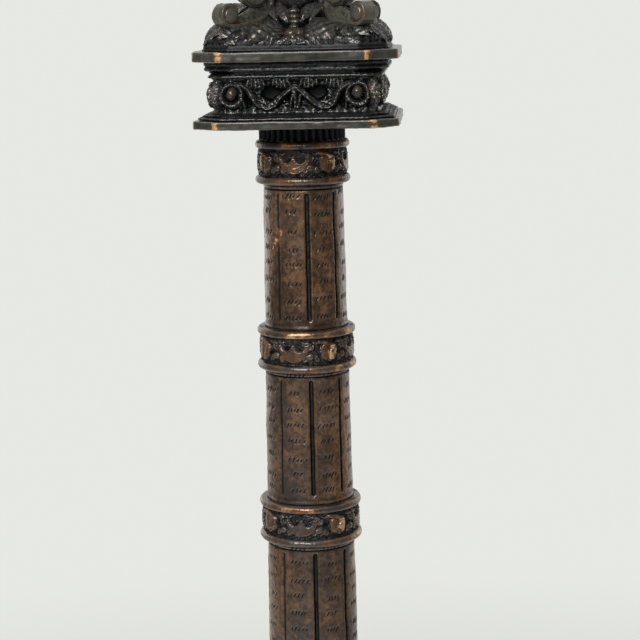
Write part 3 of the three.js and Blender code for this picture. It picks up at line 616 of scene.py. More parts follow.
def frieze_relief(s, v, off, points, seed):
    """The frieze's carving over its swelling ground, in capital millimetres, and its wear.

    A garland hangs from eye to eye: a centre arch, a deep swag and an arch over an upright bar
    on both sides, under clusters of leaves, with a ribbed leaf at each corner. Each is a ridge,
    ring or dome, and the highest of them shows. Deep round niches lie between them, and their
    wear darkens them to black as painted shade.
    """
    a = np.abs(s) + 0.35 * np.sin(v / 2.3 + np.sign(s))
    garland = curve(GARLAND, 3)
    garland = 2.5 * stroke(a, v, garland, 2.4) + 1.1 * stroke(a, v + 0.5, garland, 0.8)
    ring_away = np.abs(np.hypot(a - 38.6, v - 0.4) - 6.6)
    thick = 1.0 + 0.9 * ramp(3, -5, v)
    ring = 3.7 * np.sqrt(np.clip(1 - (ring_away / thick) ** 2, 0, 1))
    eye = 4.9 * dome(a, v, 38.4, 1.6, 3.5, 4.6)
    bars = 2.9 * np.maximum(stroke(a, v, ((31, -8.5), (31.4, 0.5)), 0.85),
                            stroke(a, v, ((33.6, -8), (33.2, 1.2)), 0.75))
    stalks = np.zeros_like(a)
    for foot, top in (((-3.0, -9), (-0.8, 3)), ((0.3, -9.5), (0.3, 4)), ((1.8, -9), (3.6, 0.4))):
        stalks = np.maximum(stalks, 2.8 * stroke(s, v, (foot, top), 0.9))
    leaves = np.zeros_like(a)
    for middle in (8.5, 24):
        for i in range(-2, 3):
            foot = (middle + 2.5 * i, 5.4 + 0.9 * abs(i) - 0.6 * (i % 2))
            lobe = tapered(a, v, (middle + 2.1 * i, 10.5, 1.5), (*foot, 1.15))
            leaves = np.maximum(leaves, 3.3 * np.sqrt(np.clip(-lobe / 1.3, 0, 1)))
    sprigs = np.zeros_like(a)
    for i, (du, dv) in enumerate(((-3.1, 4.2), (-0.9, 6.2), (1.4, 5.6), (3.6, 3.6))):
        path = ((17.7, -6.5), (17.7 + du, -6.5 + dv))
        sprigs = np.maximum(sprigs, (1.9 + 0.2 * i) * stroke(a, v, path, 0.85))
    feet = 2.2 * np.abs(np.sin(TAU * a / 9.4)) ** 0.7 * ramp(-7.6, -9.6, v)
    lean = off * (1 + 0.05 * v)
    corner = (4.1 + 0.7 * np.cos(TAU * lean / 1.9)) * ramp(4.2, 2.6, off + 0.02 * v * v)
    niches = np.maximum.reduce([dome(a, v, *niche) for niche in (
        (4.6, 0.8, 2.8, 5.2), (13.6, 1.6, 7.2, 6), (29.6, -2.5, 4.4, 6.4))])
    parts = (garland, ring, eye, bars, stalks, leaves, sprigs * ramp(0.9, 0.2, niches), feet,
             corner)
    shape = np.maximum.reduce(parts)
    border = 3.0 * ramp(9.2, 10.3, np.abs(v))
    shape = np.maximum(shape, border)
    chased = 0.26 * lumps(points, 2.9, seed) + 0.16 * lumps(points, 1.3, seed + 1, 20)
    sunk = 2.6 * niches ** 0.7 * ramp(1.6, 0.4, shape)
    # Niches are darkened to near black as painted shade; the eyes' tops are rubbed bright.
    worn = 0.42 * ramp(2.0, 4.2, eye) - 1.1 * ramp(0.1, 0.6, sunk)
    return shape - 3.1 - sunk + chased * (1 - 0.7 * (eye > 0.5)) * ramp(1.6, 0.2, sunk), worn


def panel_rows(c, count):
    """(half, cut, z) rows of a frieze ring: a stepped foot, the swelling frieze and a cornice."""
    k, foot = c.edge, c.step_height
    top = foot + c.frieze_height
    low = [(c.wall_half + (c.step_half - c.wall_half) * wide,
            c.plate_cut if rise < 0.65 else c.frieze_cut, rise * foot)
           for wide, rise in FOOT_STEPS]
    cornice = [(c.wall_half, c.frieze_cut, top)]
    for half, height, steps in ((c.ledge_half, c.ledge_height, LEDGE_STEPS),
                                (c.shelf_half, c.shelf_height, SHELF_STEPS)):
        cornice += [(half - back * k, getattr(c, cut), top + rise * height + lift * k)
                    for back, cut, rise, lift in steps]
        top += height
    share = np.linspace(0, 1, count + 2)[1:-1]
    swell = c.wall_half + c.bulge * np.sin(math.pi * share)
    frieze = np.stack((swell, np.full(count, c.frieze_cut), foot + c.frieze_height * share), -1)
    return np.concatenate((resampled(low, 18), frieze, resampled(cornice, 28)))


def panel_surface(c, node, seed, side=None):
    """A whole frieze ring, or the quarter of it on one side, as a hollow wall."""
    z, _ = node_z(node)
    rows = panel_rows(c, 62 if side is None else 42)
    face, corner = (128, 28) if side is None else (132, 28)
    points, along, off = canted_points(rows, z, face, corner, 2)
    k = c.scale * MM
    middle = c.step_height + c.frieze_height / 2
    v = (rows[:, 2:] - middle) / k + 0 * along
    wide = c.span * MM
    at = points / k
    relief, worn = frieze_relief(along / wide, v, off / wide, at, seed)
    inside_frieze = np.abs(v) < 10.5
    plain = 0.10 * lumps(at, 2.2, seed + 5) + 0.08 * lumps(at, 7, seed)
    points = raised(points, np.where(inside_frieze, relief, plain) * k)
    wear = edge_wear(points, 1.5, 2)
    wear = np.where(inside_frieze, wear + 0.2 * (relief + 0.1) + worn, 0.6 * wear - 0.5)
    wear = np.clip(wear, -1, 1.5)
    rows[:, 0] = c.wall_half - c.wall
    rows[:, 1] = c.frieze_cut - c.wall / 2
    if side is None:
        inside, _, _ = canted_points(rows[[0, -1]], z, face, corner, 2)
        return shell(points, inside, wear)
    inside, _, _ = canted_points(rows, z, face, corner, 2)
    return quarter(points, inside, wear, face, corner, side)


def quarter(outside, inside, wear, face_columns, corner_columns, side):
    """One side of a hollow wall, from the middle of one corner to the middle of the next.

    Its end columns draw in a little, which leaves the seam between two sides open.
    """
    first = side * (face_columns + corner_columns) - corner_columns // 2
    keep = np.arange(first, first + face_columns + corner_columns + 1) % outside.shape[1]
    walls = []
    for grid in (outside[:, keep], inside[:, keep]):
        for end, beside in ((0, 1), (-1, -2)):
            step = grid[:, beside] - grid[:, end]
            length = np.maximum(np.linalg.norm(step, axis=-1, keepdims=True), 1e-9)
            grid[:, end] += step * np.minimum(SEAT_GAP / 2 / length, 0.9)
        walls.append(grid)
    worn = wear[:, keep]
    worn[:, [0, -1]] = 0.2
    return shell(*walls, worn, False)


def hill_rows(c, wall, count):
    """(half, cut, z) rows of the hill: a moulded foot, a leafy bank, a shelf and a hollow slope."""
    k = c.edge
    octagon = 2 - math.sqrt(2)
    neck = c.neck_half - wall
    shelf = c.hill_shelf_half - wall
    foot, cut = c.hill_half - wall, c.top_cut - k
    rows = [(foot, cut, 0), (foot + 0.4 * k, cut, 0.5 * k), (foot, cut, 1.1 * k),
            (foot - 0.9 * k, cut, 1.5 * k), (foot - 0.8 * k, cut, 2.2 * k),
            (foot - 0.5 * k, cut, 2.8 * k), (foot - 1.4 * k, cut, c.hill_foot - 0.3 * k),
            (foot - 2.4 * k, cut, c.hill_foot)]
    bank = np.linspace(0, 1, 8)[1:]
    bank_cut = cut + (shelf * 0.27 - cut) * bank
    rows += list(zip(foot + (shelf - foot) * bank ** 1.25 - 2.4 * k * (1 - bank), bank_cut,
                     c.hill_foot + (c.hill_shelf_height - c.hill_foot) * bank ** 0.8))
    share = np.linspace(0, 1, 16)
    half = neck + (shelf * 0.72 - neck) * (1 - share) ** 2.2
    height = c.hill_shelf_height + 0.5 * k
    rise = height + (0.75 * c.hill_height - c.hill_shelf_height) * share
    rows += list(zip(half, half * (octagon - 0.28 * (1 - share)), rise))
    rows += [(neck, neck * octagon, c.hill_height)]
    rows = np.array(rows)
    rows[:, 2] = np.maximum(rows[:, 2] - wall, 0)
    rows[-1, 2] = c.hill_height
    return resampled(rows, count)


def hill_relief(points, along, c, z, seed):
    """Rows of small overlapping leaves on the bank, and upright leaves on the slope and neck.

    Each row is |sin| of the distance along it, so that it has a lobe for each leaf, cut by fine
    veins that slant away from the side's middle.
    """
    k = c.scale * MM
    height = (points[..., 2] - z) / k
    a = np.abs(along) / k
    bank = ramp(3.6, 4.6, height) * ramp(14.5, 12.5, height)
    slant = a + 0.9 * (height - 4)
    lobes = np.abs(np.sin(math.pi * slant / 5.6)) ** 0.55
    veins = np.cos(TAU * (slant - 1.6 * np.abs(np.sin(math.pi * height / 4.4))) / 1.45)
    rows = np.abs(np.sin(math.pi * (height - 4) / 4.6 + 0.5 * np.floor(slant / 5.6)))
    leaves = (1.15 * lobes * rows ** 0.5 + 0.26 * veins) * bank
    slope = ramp(13, 16, height)
    angle = np.arctan2(points[..., 1], points[..., 0])
    upright = np.abs(np.cos(4 * angle)) ** 0.6
    fine = np.cos(32 * angle + 1.5 * np.sin(height / 2.2))
    growth = (0.9 * upright + 0.16 * fine) * slope * ramp(57, 54, height)
    chased = 0.14 * lumps(points / k, 1.7, seed, 18) + 0.22 * lumps(points / k, 5, seed + 1)
    return (leaves + growth + chased * ramp(3, 4.2, height)) * k


BOTH = (-1, 1)
FLAT_OUT = (0, -0.72, 0.69)
STEEP_OUT = (0, -0.9, 0.4)
HANGING_OUT = (0, -0.9, 0.3)
# Leaves of one side: root, tip, width, bow, lobes, lift of the tip, way out and mirror signs.
FACE_LEAVES = (
    ((-10, -36, 17), (-28, -56.4, 3.4), 15.5, 3.2, 5, 0.2, FLAT_OUT, (1,)),
    ((11.5, -37, 18), (24.5, -56.6, 3.0), 15.5, 3.4, 5, 0.2, FLAT_OUT, (1,)),
    ((8.5, -41, 15), (14, -56.8, 2.8), 9, 2.4, 4, 0.3, FLAT_OUT, BOTH),
    ((20, -37, 15), (38, -54.4, 4.6), 11, 2.0, 4, 0.1, FLAT_OUT, BOTH),
    ((30, -40, 14), (46, -51, 7.5), 9, 1.4, 4, 0.1, (0.2, -0.66, 0.72), BOTH),
    ((38, -38, 14), (49, -43.5, 9), 8, 0.8, 3, 0.1, (0.5, -0.5, 0.7), BOTH),
    ((28, -50, 8), (41, -56, 3.6), 7, 0.6, 3, 0.1, FLAT_OUT, BOTH),
    ((11, -28, 27), (3.6, -41, 15.5), 8.5, 2.0, 4, 1.0, FLAT_OUT, BOTH),
    ((17, -26, 28), (9, -40, 15), 5.5, 2.6, 2, 0.6, FLAT_OUT, BOTH),
    ((1.8, -55.6, 8), (8.5, -57, 3.4), 4.6, 0.8, 2, 0.8, STEEP_OUT, BOTH),
    ((1.5, -55, 6), (4.2, -57.2, 2.6), 3.6, 0.6, 2, 0.6, STEEP_OUT, BOTH),
    ((0, -14, 54), (0, -22, 42), 11, 2.0, 4, -3.5, HANGING_OUT, (1,)),
    ((12, -13, 54), (14, -22, 38), 9, 2.2, 4, -3.0, (0.35, -0.85, 0.3), BOTH),
)


def face_foliage(c, z, seed):
    """Leaves, a fruit on a stalk, petals and a big bud against the side that faces -Y.

    Each comes with the wear that it has all over.
    """
    k = c.spread * MM
    rng = np.random.default_rng(seed)
    grids = []
    for root, tip, width, bulge, lobes, curl, out, signs in FACE_LEAVES:
        for sign in signs:
            jitter = rng.normal(0, 0.35, 3)
            flip = np.array((sign, 1, 1))
            blade = leaf(root * flip + jitter, tip * flip + jitter, out * flip, width, bulge,
                         lobes, curl, 34, 0.055)
            grids.append((blade, 0.42))
    grids.append((ball((0, -50.2, 9.8), (5.8, 4.4, 3.8), 3, 0.3, 24, 48), 0.85))
    grids.append((ball((0, -52.4, 6.6), (2.4, 2.4, 3.8), 0, 0, 12, 18), 0.75))
    stalk = curve(((0, -49, 12), (0.5, -45.5, 17), (-0.4, -41.5, 21.5), (0.2, -34, 27)), 6)
    for share, radius in ((0.12, 2.6), (0.34, 3.2), (0.58, 3.0), (0.8, 3.4)):
        at = stalk[int(share * (len(stalk) - 1))]
        grids.append((ball(at, (radius, radius, 2.0), 6, 0.25, 12, 30), 0.5))
    grids.append((limb(stalk, 1.8, 12, (1, 0.1, 0.2), 4), 0))
    grids.append((ball((0, -24.5, 35.5), (11.5, 9.6, 10.8), 7, 0.16, 30, 84), 0.4))
    chased = [(raised(grid, 0.13 * lumps(grid, 1.3, seed + 3, 18)), extra)
              for grid, extra in grids]
    return [(grid * k + (0, 0, z), extra) for grid, extra in chased]


def hill_surface(c, node, seed, side=None):
    """The hill as a hollow wall, whole or one quarter of it, with its carving."""
    z, _ = node_z(node)
    count, inner_count = (80, 20) if side is None else (68, 68)
    points, along, _ = canted_points(hill_rows(c, 0, count), z, *HILL_COLUMNS, 2)
    points = raised(points, hill_relief(points, along, c, z, seed))
    low = points[..., 2] - z < 3.5 * c.scale * MM
    # The bank is darkened all over as painted shade round the leaves that lie on it, and more over
    # its moulded foot.
    wear = np.clip(edge_wear(points, 1.4, 2) - 0.42 - 0.25 * low, -1, 1)
    inside, _, _ = canted_points(hill_rows(c, c.hill_wall, inner_count), z, *HILL_COLUMNS, 2)
    if side is None:
        return shell(points, inside, wear)
    return quarter(points, inside, wear, *HILL_COLUMNS, side)


def foliage_surfaces(c, node, seed, angle):
    """One side's foliage as surfaces, turned to that side."""
    return [surface(turned_by(grid, angle), edge_wear(grid, 1.6, 1) + extra)
            for grid, extra in face_foliage(c, node_z(node)[0], seed)]


def spiral(u, v, reach, degrees):
    """Points round (u, v), each at its own reach and angle."""
    turn = np.radians(degrees)
    return np.stack((u + reach * np.cos(turn), v + reach * np.sin(turn)), -1)


def scroll_path(c):
    """The S-shaped path of a bracket's ribbon, as (reach, 0, rise) points.

    It winds out of the corner roll, dips, climbs and winds into the upper volute.
    """
    half = c.ribbon / 2
    roll, volute = c.roll_radius - half, c.volute_radius - half
    turn = np.linspace(-250, 90, 30)
    inner = ramp(-250, -60, turn) * 0.5 + 0.5
    start = spiral(c.roll_reach, c.roll_rise, roll * inner, -turn)
    dip = (c.dip_reach, c.hill_shelf_height + c.edge / 2 + SEAT_GAP + half)
    back = (c.volute_reach - volute, c.volute_rise)
    bend = [(dip[0] + (back[0] - dip[0]) * inward, dip[1] + (back[1] - dip[1]) * up)
            for inward, up in ((0.7, 0.17), (0.97, 0.47))]
    between = curve((start[-2], start[-1], dip, *bend, back, (back[0], back[1] + half)), 8)
    turn = np.linspace(0, 620, 60)[1:]
    inner = 1 - 0.72 * ramp(60, 620, turn)
    end = spiral(c.volute_reach, c.volute_rise, volute * inner, 180 - turn)
    flat = resampled(np.concatenate((start, between[9:-8], end)), 160)
    return np.stack((flat[:, 0], 0 * flat[:, 0], flat[:, 1]), -1)


def scroll_surfaces(c, hill, angle, seed):
    """A bracket: its ribbon, the web behind it, and the eyes and cheeks of its two rolls."""
    z, _ = node_z(hill)
    k = c.scale * MM
    path = scroll_path(c)
    share = np.linspace(0, 1, len(path))
    wide = c.scroll_width * (1 - 0.15 * ramp(0.6, 1, share))
    thick = c.ribbon * (0.86 + 0.3 * np.exp(-((share - 0.34) / 0.1) ** 2) - 0.25 * ramp(
        0.6, 0.8, share))
    ribbon = swept(path, wide, thick)
    ribbon = raised(ribbon, 0.10 * k * lumps(ribbon / k, 2.4, seed))
    # The ribbon's wear is raised to bring out the lighter olive: worn skin, and in part painted
    # light.
    found = [surface(ribbon, edge_wear(ribbon, 0.9, 1) + 0.62, caps=tube_caps(ribbon))]
    web = web_points(c, path)
    web = raised(web, 0.14 * k * lumps(web / k, 2.0, seed + 1))
    found.append(surface(web, np.full(web.shape[:2], -0.2), caps=tube_caps(web)))
    eyes = ((c.roll_reach, c.roll_rise, 0.62 * c.roll_radius, 0.59 * c.scroll_width, 0.6),
            (c.volute_reach, c.volute_rise, 0.84 * c.volute_radius, 0.32 * c.scroll_width, -0.1),
            (c.volute_reach, c.volute_rise, 0.26 * c.volute_radius, 0.52 * c.scroll_width, 0.6))
    for reach, rise, radius, half, extra in eyes:
        drum = eye_drum(radius, half)
        worn = edge_wear(drum, 1.6, 1) + extra
        found.append(surface(drum + np.array((reach, 0, rise)), worn))
    return [(turned_by(points, angle) + np.array((0, 0, z)), faces, wear)
            for points, faces, wear in found]


def web_points(c, path):
    """The thin web over the ribbon, half way to the line that joins the middles of its rolls.

    Each ring runs from the ribbon up on one face and back down on the other.
    """
    flat = path[:, [0, 2]]
    roll, volute = np.array((c.roll_reach, c.roll_rise)), np.array((c.volute_reach, c.volute_rise))
    rising = np.hypot(*(flat - roll).T) > c.roll_radius
    rising &= np.hypot(*(flat - volute).T) > c.volute_radius * 1.02
    low = resampled(flat[rising], 26)
    share = np.linspace(0, 1, 26)[:, None]
    high = roll * (1 - share) + share * volute
    turn = angles(36)
    up = 0.55 * (0.5 - 0.5 * np.cos(turn))[..., None]
    flat = low[:, None] * (1 - up) + high[:, None] * up
    side = 0.14 * c.scroll_width * flattened(np.sin(turn), 0.3)
    return np.stack((flat[..., 0], side + 0 * flat[..., 0], flat[..., 1]), -1)


def tube_caps(points):
    """Quads that close both ends of a tube, by joining its columns across."""
    rows, columns = points.shape[:2]
    i = np.arange(columns // 2 - 1)
    low = np.stack((i, columns - 1 - i, columns - 2 - i, i + 1), -1)
    return np.concatenate((low, (low + (rows - 1) * columns)[:, ::-1]))


def eye_drum(radius, half):
    """A drum along Y with gently domed ends and a soft rim."""
    r = np.array([0, 0.12, 0.3, 0.5, 0.66, 0.78, 0.87, 0.94, 0.98, 1.0])
    h = np.array([1.06, 1.06, 1.05, 1.03, 1.0, 0.98, 0.95, 0.91, 0.86, 0.8])
    profile = np.concatenate((np.stack((r, h), -1), np.stack((r, -h), -1)[::-1]))
    ring_radius, along = profile[:, :1] * radius, profile[:, 1:] * half
    angle = angles(36)
    return np.stack((ring_radius * np.cos(angle), along + 0 * angle,
                     ring_radius * np.sin(angle)), -1)


# Stem

def stem_radius(z):
    """The stem's radius at a height: a straight taper between its end tubes."""
    feet = [node_z(band)[1] + SEAT_GAP for band in nodes_named("stem_band")[:-1]]
    radii = [node_radius(tube) for tube in nodes_named("stem_tube")]
    slope = (radii[-1] - radii[0]) / (feet[-1] - feet[0])
    return radii[0] + slope * (z - feet[0])


def groove_profile(across, beyond, width, depth):
    """Height of a round-ended slot: -depth inside half its width, with a thin lip outside.

    across is the distance from the slot's middle line, and beyond the distance past its end.
    """
    away = np.hypot(across, beyond) - width / 2
    cut = 1 - ramp(-0.45 * MM, 0.2 * MM, away)
    lip = np.exp(-((away - 0.5 * MM) / (0.35 * MM)) ** 2)
    glow = np.exp(-(np.maximum(away, 0) / (2.6 * MM)) ** 2)
    floor = 1 - ramp(-1.15 * MM, -0.85 * MM, away)
    return (0.12 * MM * lip - depth * cut,
            0.5 * lip - 1.0 * cut + 0.22 * glow * (1 - cut) - 1.2 * floor)


def chisel_marks(across, height, z_low, z_high, sector, settings, rng):
    """Rows of short slanting dents between the grooves: each is a dent round a line segment."""
    dents = np.zeros_like(height)
    wear = np.zeros_like(height)
    rows = int((z_high - z_low) / settings.mark_rise)
    for side in range(settings.groove_count):
        for row in range(rows + 1):
            z = z_low + settings.mark_rise * (row + rng.uniform(0.25, 0.55))
            count = rng.integers(3, 6)
            spread = rng.uniform(2.2, 2.8) * MM
            middle = rng.uniform(-0.9, 0.9) * MM
            near = (sector == side) & (np.abs(height - z) < 3 * MM)
            if not near.any():
                continue
            u, v = across[near], height[near] - z
            for i in range(count):
                start = middle + (i - (count - 1) / 2) * spread + rng.normal(0, 0.25) * MM
                lean = rng.uniform(0.2, 0.8)
                size = rng.uniform(0.7, 1.4) * MM
                along = np.clip((v + lean * (u - start)) / (1 + lean * lean), -size, size)
                away = np.hypot(u - start - lean * along, v - along)
                dent = 1 - ramp(0.2 * MM, 0.75 * MM, away)
                dents[near] -= settings.mark_depth * dent
                wear[near] -= 0.8 * dent
                wear[near] += 0.22 * np.exp(-((away - 0.95 * MM) / (0.3 * MM)) ** 2)
    return dents, wear


def tube_surface(z_low, z_high, settings, rng, rubbed):
    """A tapered tube, radius(z) plus relief: grooves, chisel marks and a slow hand-made wave.

    Each rubbed place is an (angle, height, width, length, lean) patch of bare metal.
    """
    angle = angles(TUBE_COLUMNS)
    height = np.linspace(z_low, z_high, TUBE_ROWS)[:, None]
    radius = stem_radius(height) + 0 * angle
    step = TAU / settings.groove_count
    turned = angle - FRONT - settings.groove_turn
    across = radius * ((turned + step / 2) % step - step / 2)
    low, high = z_low + 7.2 * MM, z_high - 6.2 * MM
    beyond = np.maximum(np.maximum(low - height, height - high), 0) + 0 * angle
    grooves, wear = groove_profile(across, beyond, settings.groove_width, settings.groove_depth)
    index = np.floor(turned / step + 0.5).astype(int) % settings.groove_count
    faint = index == settings.faint_groove
    grooves, wear = grooves * np.where(faint, 0.4, 1), wear * np.where(faint, 0.25, 1)
    between = np.floor(turned / step).astype(int) % settings.groove_count + 0 * across.astype(int)
    offset = radius * ((turned % step) - step / 2)
    marks, mark_wear = chisel_marks(
        offset, height + 0 * angle, z_low + 4 * MM, z_high - 3 * MM, between, settings, rng)
    points = round_points(radius, height, angle)
    seed = int(rng.integers(1000))
    wave = 0.14 * MM * lumps(points, 30 * MM, seed) + 0.05 * MM * lumps(points, 5 * MM, seed + 1)
    foot, top = height - z_low, z_high - height
    collar = 0.5 * MM * ramp(2.0 * MM, 1.5 * MM, top) + 0.4 * MM * ramp(2.2 * MM, 1.6 * MM, foot)
    collar = collar - 0.35 * MM * np.exp(-((top - 2.5 * MM) / (0.4 * MM)) ** 2)
    points = round_points(radius + grooves + marks + wave + collar, height, angle)
    wear = wear + mark_wear - 0.4 * ramp(9 * MM, 1 * MM, foot) - 0.25 * ramp(8 * MM, 3 * MM, top)
    wear = wear - 0.7 * np.exp(-((top - 2.6 * MM) / (0.45 * MM)) ** 2)
    wear = wear + 0.7 * collar / MM * (foot > 0.6 * MM) * (top > 0.6 * MM)
    for place, rise, wide, tall, lean in rubbed:
        u = radius * ((angle - place + math.pi) % TAU - math.pi) - lean * (height - z_low - rise)
        patch = np.exp(-(u / wide) ** 2 - ((height - z_low - rise) / tall) ** 2)
        wear = wear + 0.75 * patch * (1 + 0.5 * lumps(points, 2.5 * MM, seed + 2))
    return bored(points, wear, TUBE_BORE, z_low, z_high, angle)


def crescent_away(u, v):
    """Distance to the leaf's outline, in millimetres: a round bowl less two round bites.

    The bites leave a thin left point, a blunt middle one and a right one.
    """
    bowl = np.maximum(np.hypot(u, v - 4.6) - 11.0, v - 4.9)
    left = 3.9 - np.hypot(u + 5.3, v - 4.7)
    right = 3.5 - np.hypot(u - 4.5, v - 3.9)
    return np.maximum(bowl, np.maximum(left, right))


def shield_away(u, v):
    """Distance to the shield's outline, in millimetres: two round shoulders over a blunt foot."""
    bars = (((-3.2, 2.5, 2.8), (-1.9, -1.5, 3.6)), ((3.2, 2.5, 2.8), (1.9, -1.5, 3.6)),
            ((0, -1, 4.8), (0.5, -4.2, 1.9)))
    return np.minimum.reduce([tapered(u, v, *bar) for bar in bars])


def curl_path(u, v, radius, start, turns, sign):
    """A spiral that winds in: radius (1 - 0.75 t) at an angle that runs from start by turns."""
    t = np.linspace(0, 1, 18)
    turn = np.degrees(start + sign * TAU * turns * t)
    return spiral(u, v, radius * (1 - 0.75 * t), turn)


def band_relief(u, v, kind, half, points, seed):
    """The carving of a band, as heights and wear, with u and v in millimetres.

    Flat leaves and domed shields stand in turn on a stippled ground, with buds, ring curls and
    tendrils between them. Each has a thin raised rim.
    """
    def rim(away):
        return np.exp(-((away + 0.45) / 0.32) ** 2)

    leaf_far, shield_far = crescent_away(u, v), shield_away(u, v)
    leaf_shape = 0.56 * ramp(0.3, -0.4, leaf_far) + 0.05 * rim(leaf_far)
    boss = 0.68 * ramp(0.25, -0.5, shield_far)
    boss += 0.42 * np.sqrt(np.clip(-shield_far / 5.4, 0, 1)) + 0.05 * rim(shield_far)
    for cut in (((-0.3, 6.5), (0.4, 1.4), (-0.6, -5.2)), ((0.4, 1.2), (3.4, 3.2), (5.2, 2.6))):
        boss -= 0.34 * stroke(u, v, curve(cut, 3), 0.75) * (shield_far < 0)
    main = np.where(kind == 0, leaf_shape, boss)
    trim = 0.60 * dome(u, v, half * 0.94, -2.6, 2.7, 2.1)
    trim = np.maximum(trim, 0.60 * dome(u, v, half * 0.94 - 2 * half, -2.6, 2.7, 2.1))
    for side in (-1, 1):
        base = side * half
        paths = (curl_path(base - 1.0, 3.4, 2.5, 0.4, 1.1, side),
                 curl_path(base - side * 4.4, -4.2, 1.9, 1.6, 1.0, -side),
                 [(base - side * 5.6, 6.6), (base - side * 3.4, 5.9), (base - side * 1.8, 6.4)])
        for path in paths:
            trim = np.maximum(trim, 0.44 * stroke(u, v, path, 0.75))
    arcs = np.zeros_like(u)
    for radius in (3.7, 4.7):
        ring_away = np.abs(np.hypot(u - 3.6, v - 2.7) - radius)
        arcs = np.maximum(arcs, 0.3 * np.exp(-(ring_away / 0.3) ** 2) * (v > 3.2))
    trim = np.where(kind == 0, np.maximum(trim, arcs), trim)
    top = curve(((-7.2, 6.9), (-4.4, 6.3), (-1.8, 6.2), (0.2, 5.0), (2.4, 4.4)), 3)
    top = np.where(kind == 1, 0.95 * stroke(u, v, top, 1.25), 0)
    shape = np.maximum.reduce((main, trim, top))
    ground = 1 - ramp(0.05, 0.3, shape)
    stipple = 0.14 * lumps(points, 1.5, seed, 22) + 0.07 * lumps(points, 3.4, seed + 1)
    hatch = 0.09 * np.cos(TAU * (u + 0.7 * v) / 1.9) * ramp(0.2, 0.8, lumps(points, 9, seed + 2))
    patchy = lumps(points, 5.5, seed + 3)
    wear = -0.6 + 0.9 * ramp(0.12, 0.6, shape) + 0.1 * rim(leaf_far) * (kind == 0)
    reach = np.hypot(points[..., 0], points[..., 1])
    handled = ramp(0.1, 0.8, (0.6 * points[..., 0] - 0.8 * points[..., 1]) / reach)
    rub = (0.4 + 0.3 * patchy) * dome(u, v, 2.4, -0.4, 4.2, 5.0) * handled
    wear += (kind == 1) * (0.15 * ramp(0.3, 1.0, shape) + rub + 0.2 * rub * ramp(2, 4, v))
    return shape + stipple * (0.25 + 0.75 * ground) + hatch * ground, wear + 0.1 * patchy


def band_surface(node, settings, turn, seed, dull):
    """A collar: its section is a bead, a sunk frieze and a bead, and the frieze has relief.

    Dull is how much less its beads are rubbed.
    """
    low, high = node_z(node)
    outer = node_radius(node)
    bead = 2.6 * MM
    angle = angles(BAND_COLUMNS)
    middle = (low + high) / 2
    taper = stem_radius(low) - stem_radius(high)

    def lean(z):
        return taper * (middle - z) / (high - low)

    step = TAU / MOTIFS
    turned = angle - FRONT - turn
    frieze_z = np.linspace(low + 2 * bead, high - 2 * bead, BAND_ROWS)[:, None]
    kind = np.floor(turned / step + 0.5).astype(int) % 2 + 0 * frieze_z
    local = (turned + step / 2) % step - step / 2
    u = outer * local / MM + 0 * frieze_z
    v = (frieze_z - middle) / MM + 0 * angle
    half = outer * step / 2 / MM
    ground = round_points(outer - 2.5 * MM + lean(frieze_z), frieze_z, angle)
    shape, frieze_wear = band_relief(u, v, kind, half, ground / MM, seed)
    swing = np.linspace(-QUARTER, QUARTER, 11)[:, None]
    beads = []
    for z in (low + bead, high - bead):
        round_bead = round_points(outer - bead + lean(z) + bead * np.cos(swing),
                                  z + bead * np.sin(swing), angle)
        pits = np.minimum(lumps(round_bead, 3.2 * MM, seed + 4) + 0.7, 0)
        uneven = 0.10 * lumps(round_bead, 14 * MM, seed + 5) + 0.05 * lumps(
            round_bead, 2.2 * MM, seed + 6) + 0.13 * pits
        patchy = lumps(round_bead, 22 * MM, seed + 7) - dull
        wear = 0.55 * ramp(0.3, 0.95, np.cos(swing)) - 0.15 + 0.7 * uneven + 0.26 * patchy
        beads.append((round_points(
            outer - bead + lean(z) + (bead + uneven * MM) * np.cos(swing) - 0.12 * MM,
            z + bead * np.sin(swing), angle), wear))
    frieze = round_points(outer - 2.5 * MM + lean(frieze_z) + settings.relief * shape,
                          frieze_z, angle)
    grid = np.concatenate((beads[0][0], frieze, beads[1][0]))
    wear = np.concatenate((beads[0][1], frieze_wear, beads[1][1]))
    return bored(grid, np.clip(wear, -1, 1), BAND_BORE, low, high, angle)


def neck_surface(node):
    """A fluted ring: the radius dips by |sin(18 angle)| between 36 sharp fillets."""
    low, high = node_z(node)
    angle = angles(NECK_COLUMNS)
    height = np.linspace(low, high, 14)[:, None]
    dip = np.abs(np.sin(18 * angle)) ** 0.6
    radius = node_radius(node) - 1.2 * MM * dip * ramp(0, 0.6 * MM, height - low)
    wear = np.clip(0.3 - 1.2 * dip + 0 * height, -1, 1)
    return bored(round_points(radius, height, angle), wear, NECK_BORE, low, high, angle)


# Turned castings

def gadroons(count, depth, low, high):
    """Upright lobes between two heights: depth (|cos(count a / 2)|^0.7 - 1), eased at the ends."""
    def relief(radius, z, angle):
        lobes = np.abs(np.cos(count * angle / 2)) ** 0.7 - 1
        soft = 0.2 * (high - low)
        return depth * lobes * ramp(low, low + soft, z) * ramp(high, high - soft, z)
    return relief


def arc_points(radius, z, reach, start, stop, count):
    """Points on an arc in the (radius, z) plane, with the angles in degrees."""
    return spiral(radius, z, reach, np.linspace(start, stop, count)).tolist()


def knop_surface(node):
    """The knop: a gadrooned bulb between beaded fillets."""
    z, _ = node_z(node)
    turn = np.linspace(-QUARTER, QUARTER, 15)
    waist = 39
    bulb = zip(waist + (node_radius(node) / MM - waist) * np.cos(turn), 23 + 15 * np.sin(turn))
    foot = [(22, 0), (36.4, 0), (37.2, 0.9), (37.2, 3.4), (36.2, 4.4), (36.6, 5.6), (38, 7)]
    top = [(38.4, 38.8), (37.6, 40.4), (38.8, 41.6), (39.4, 43), (38.4, 44.4), (37.8, 45.2),
           (39, 46.2), (39.3, 47.6), (39, 49.4), (38.2, 50), (22, 50)]
    lobes = gadroons(20, 2.2 * MM, z + 9 * MM, z + 37 * MM)
    return turned_shell([*foot, *bulb, *top], z, 180, 88, lobes)


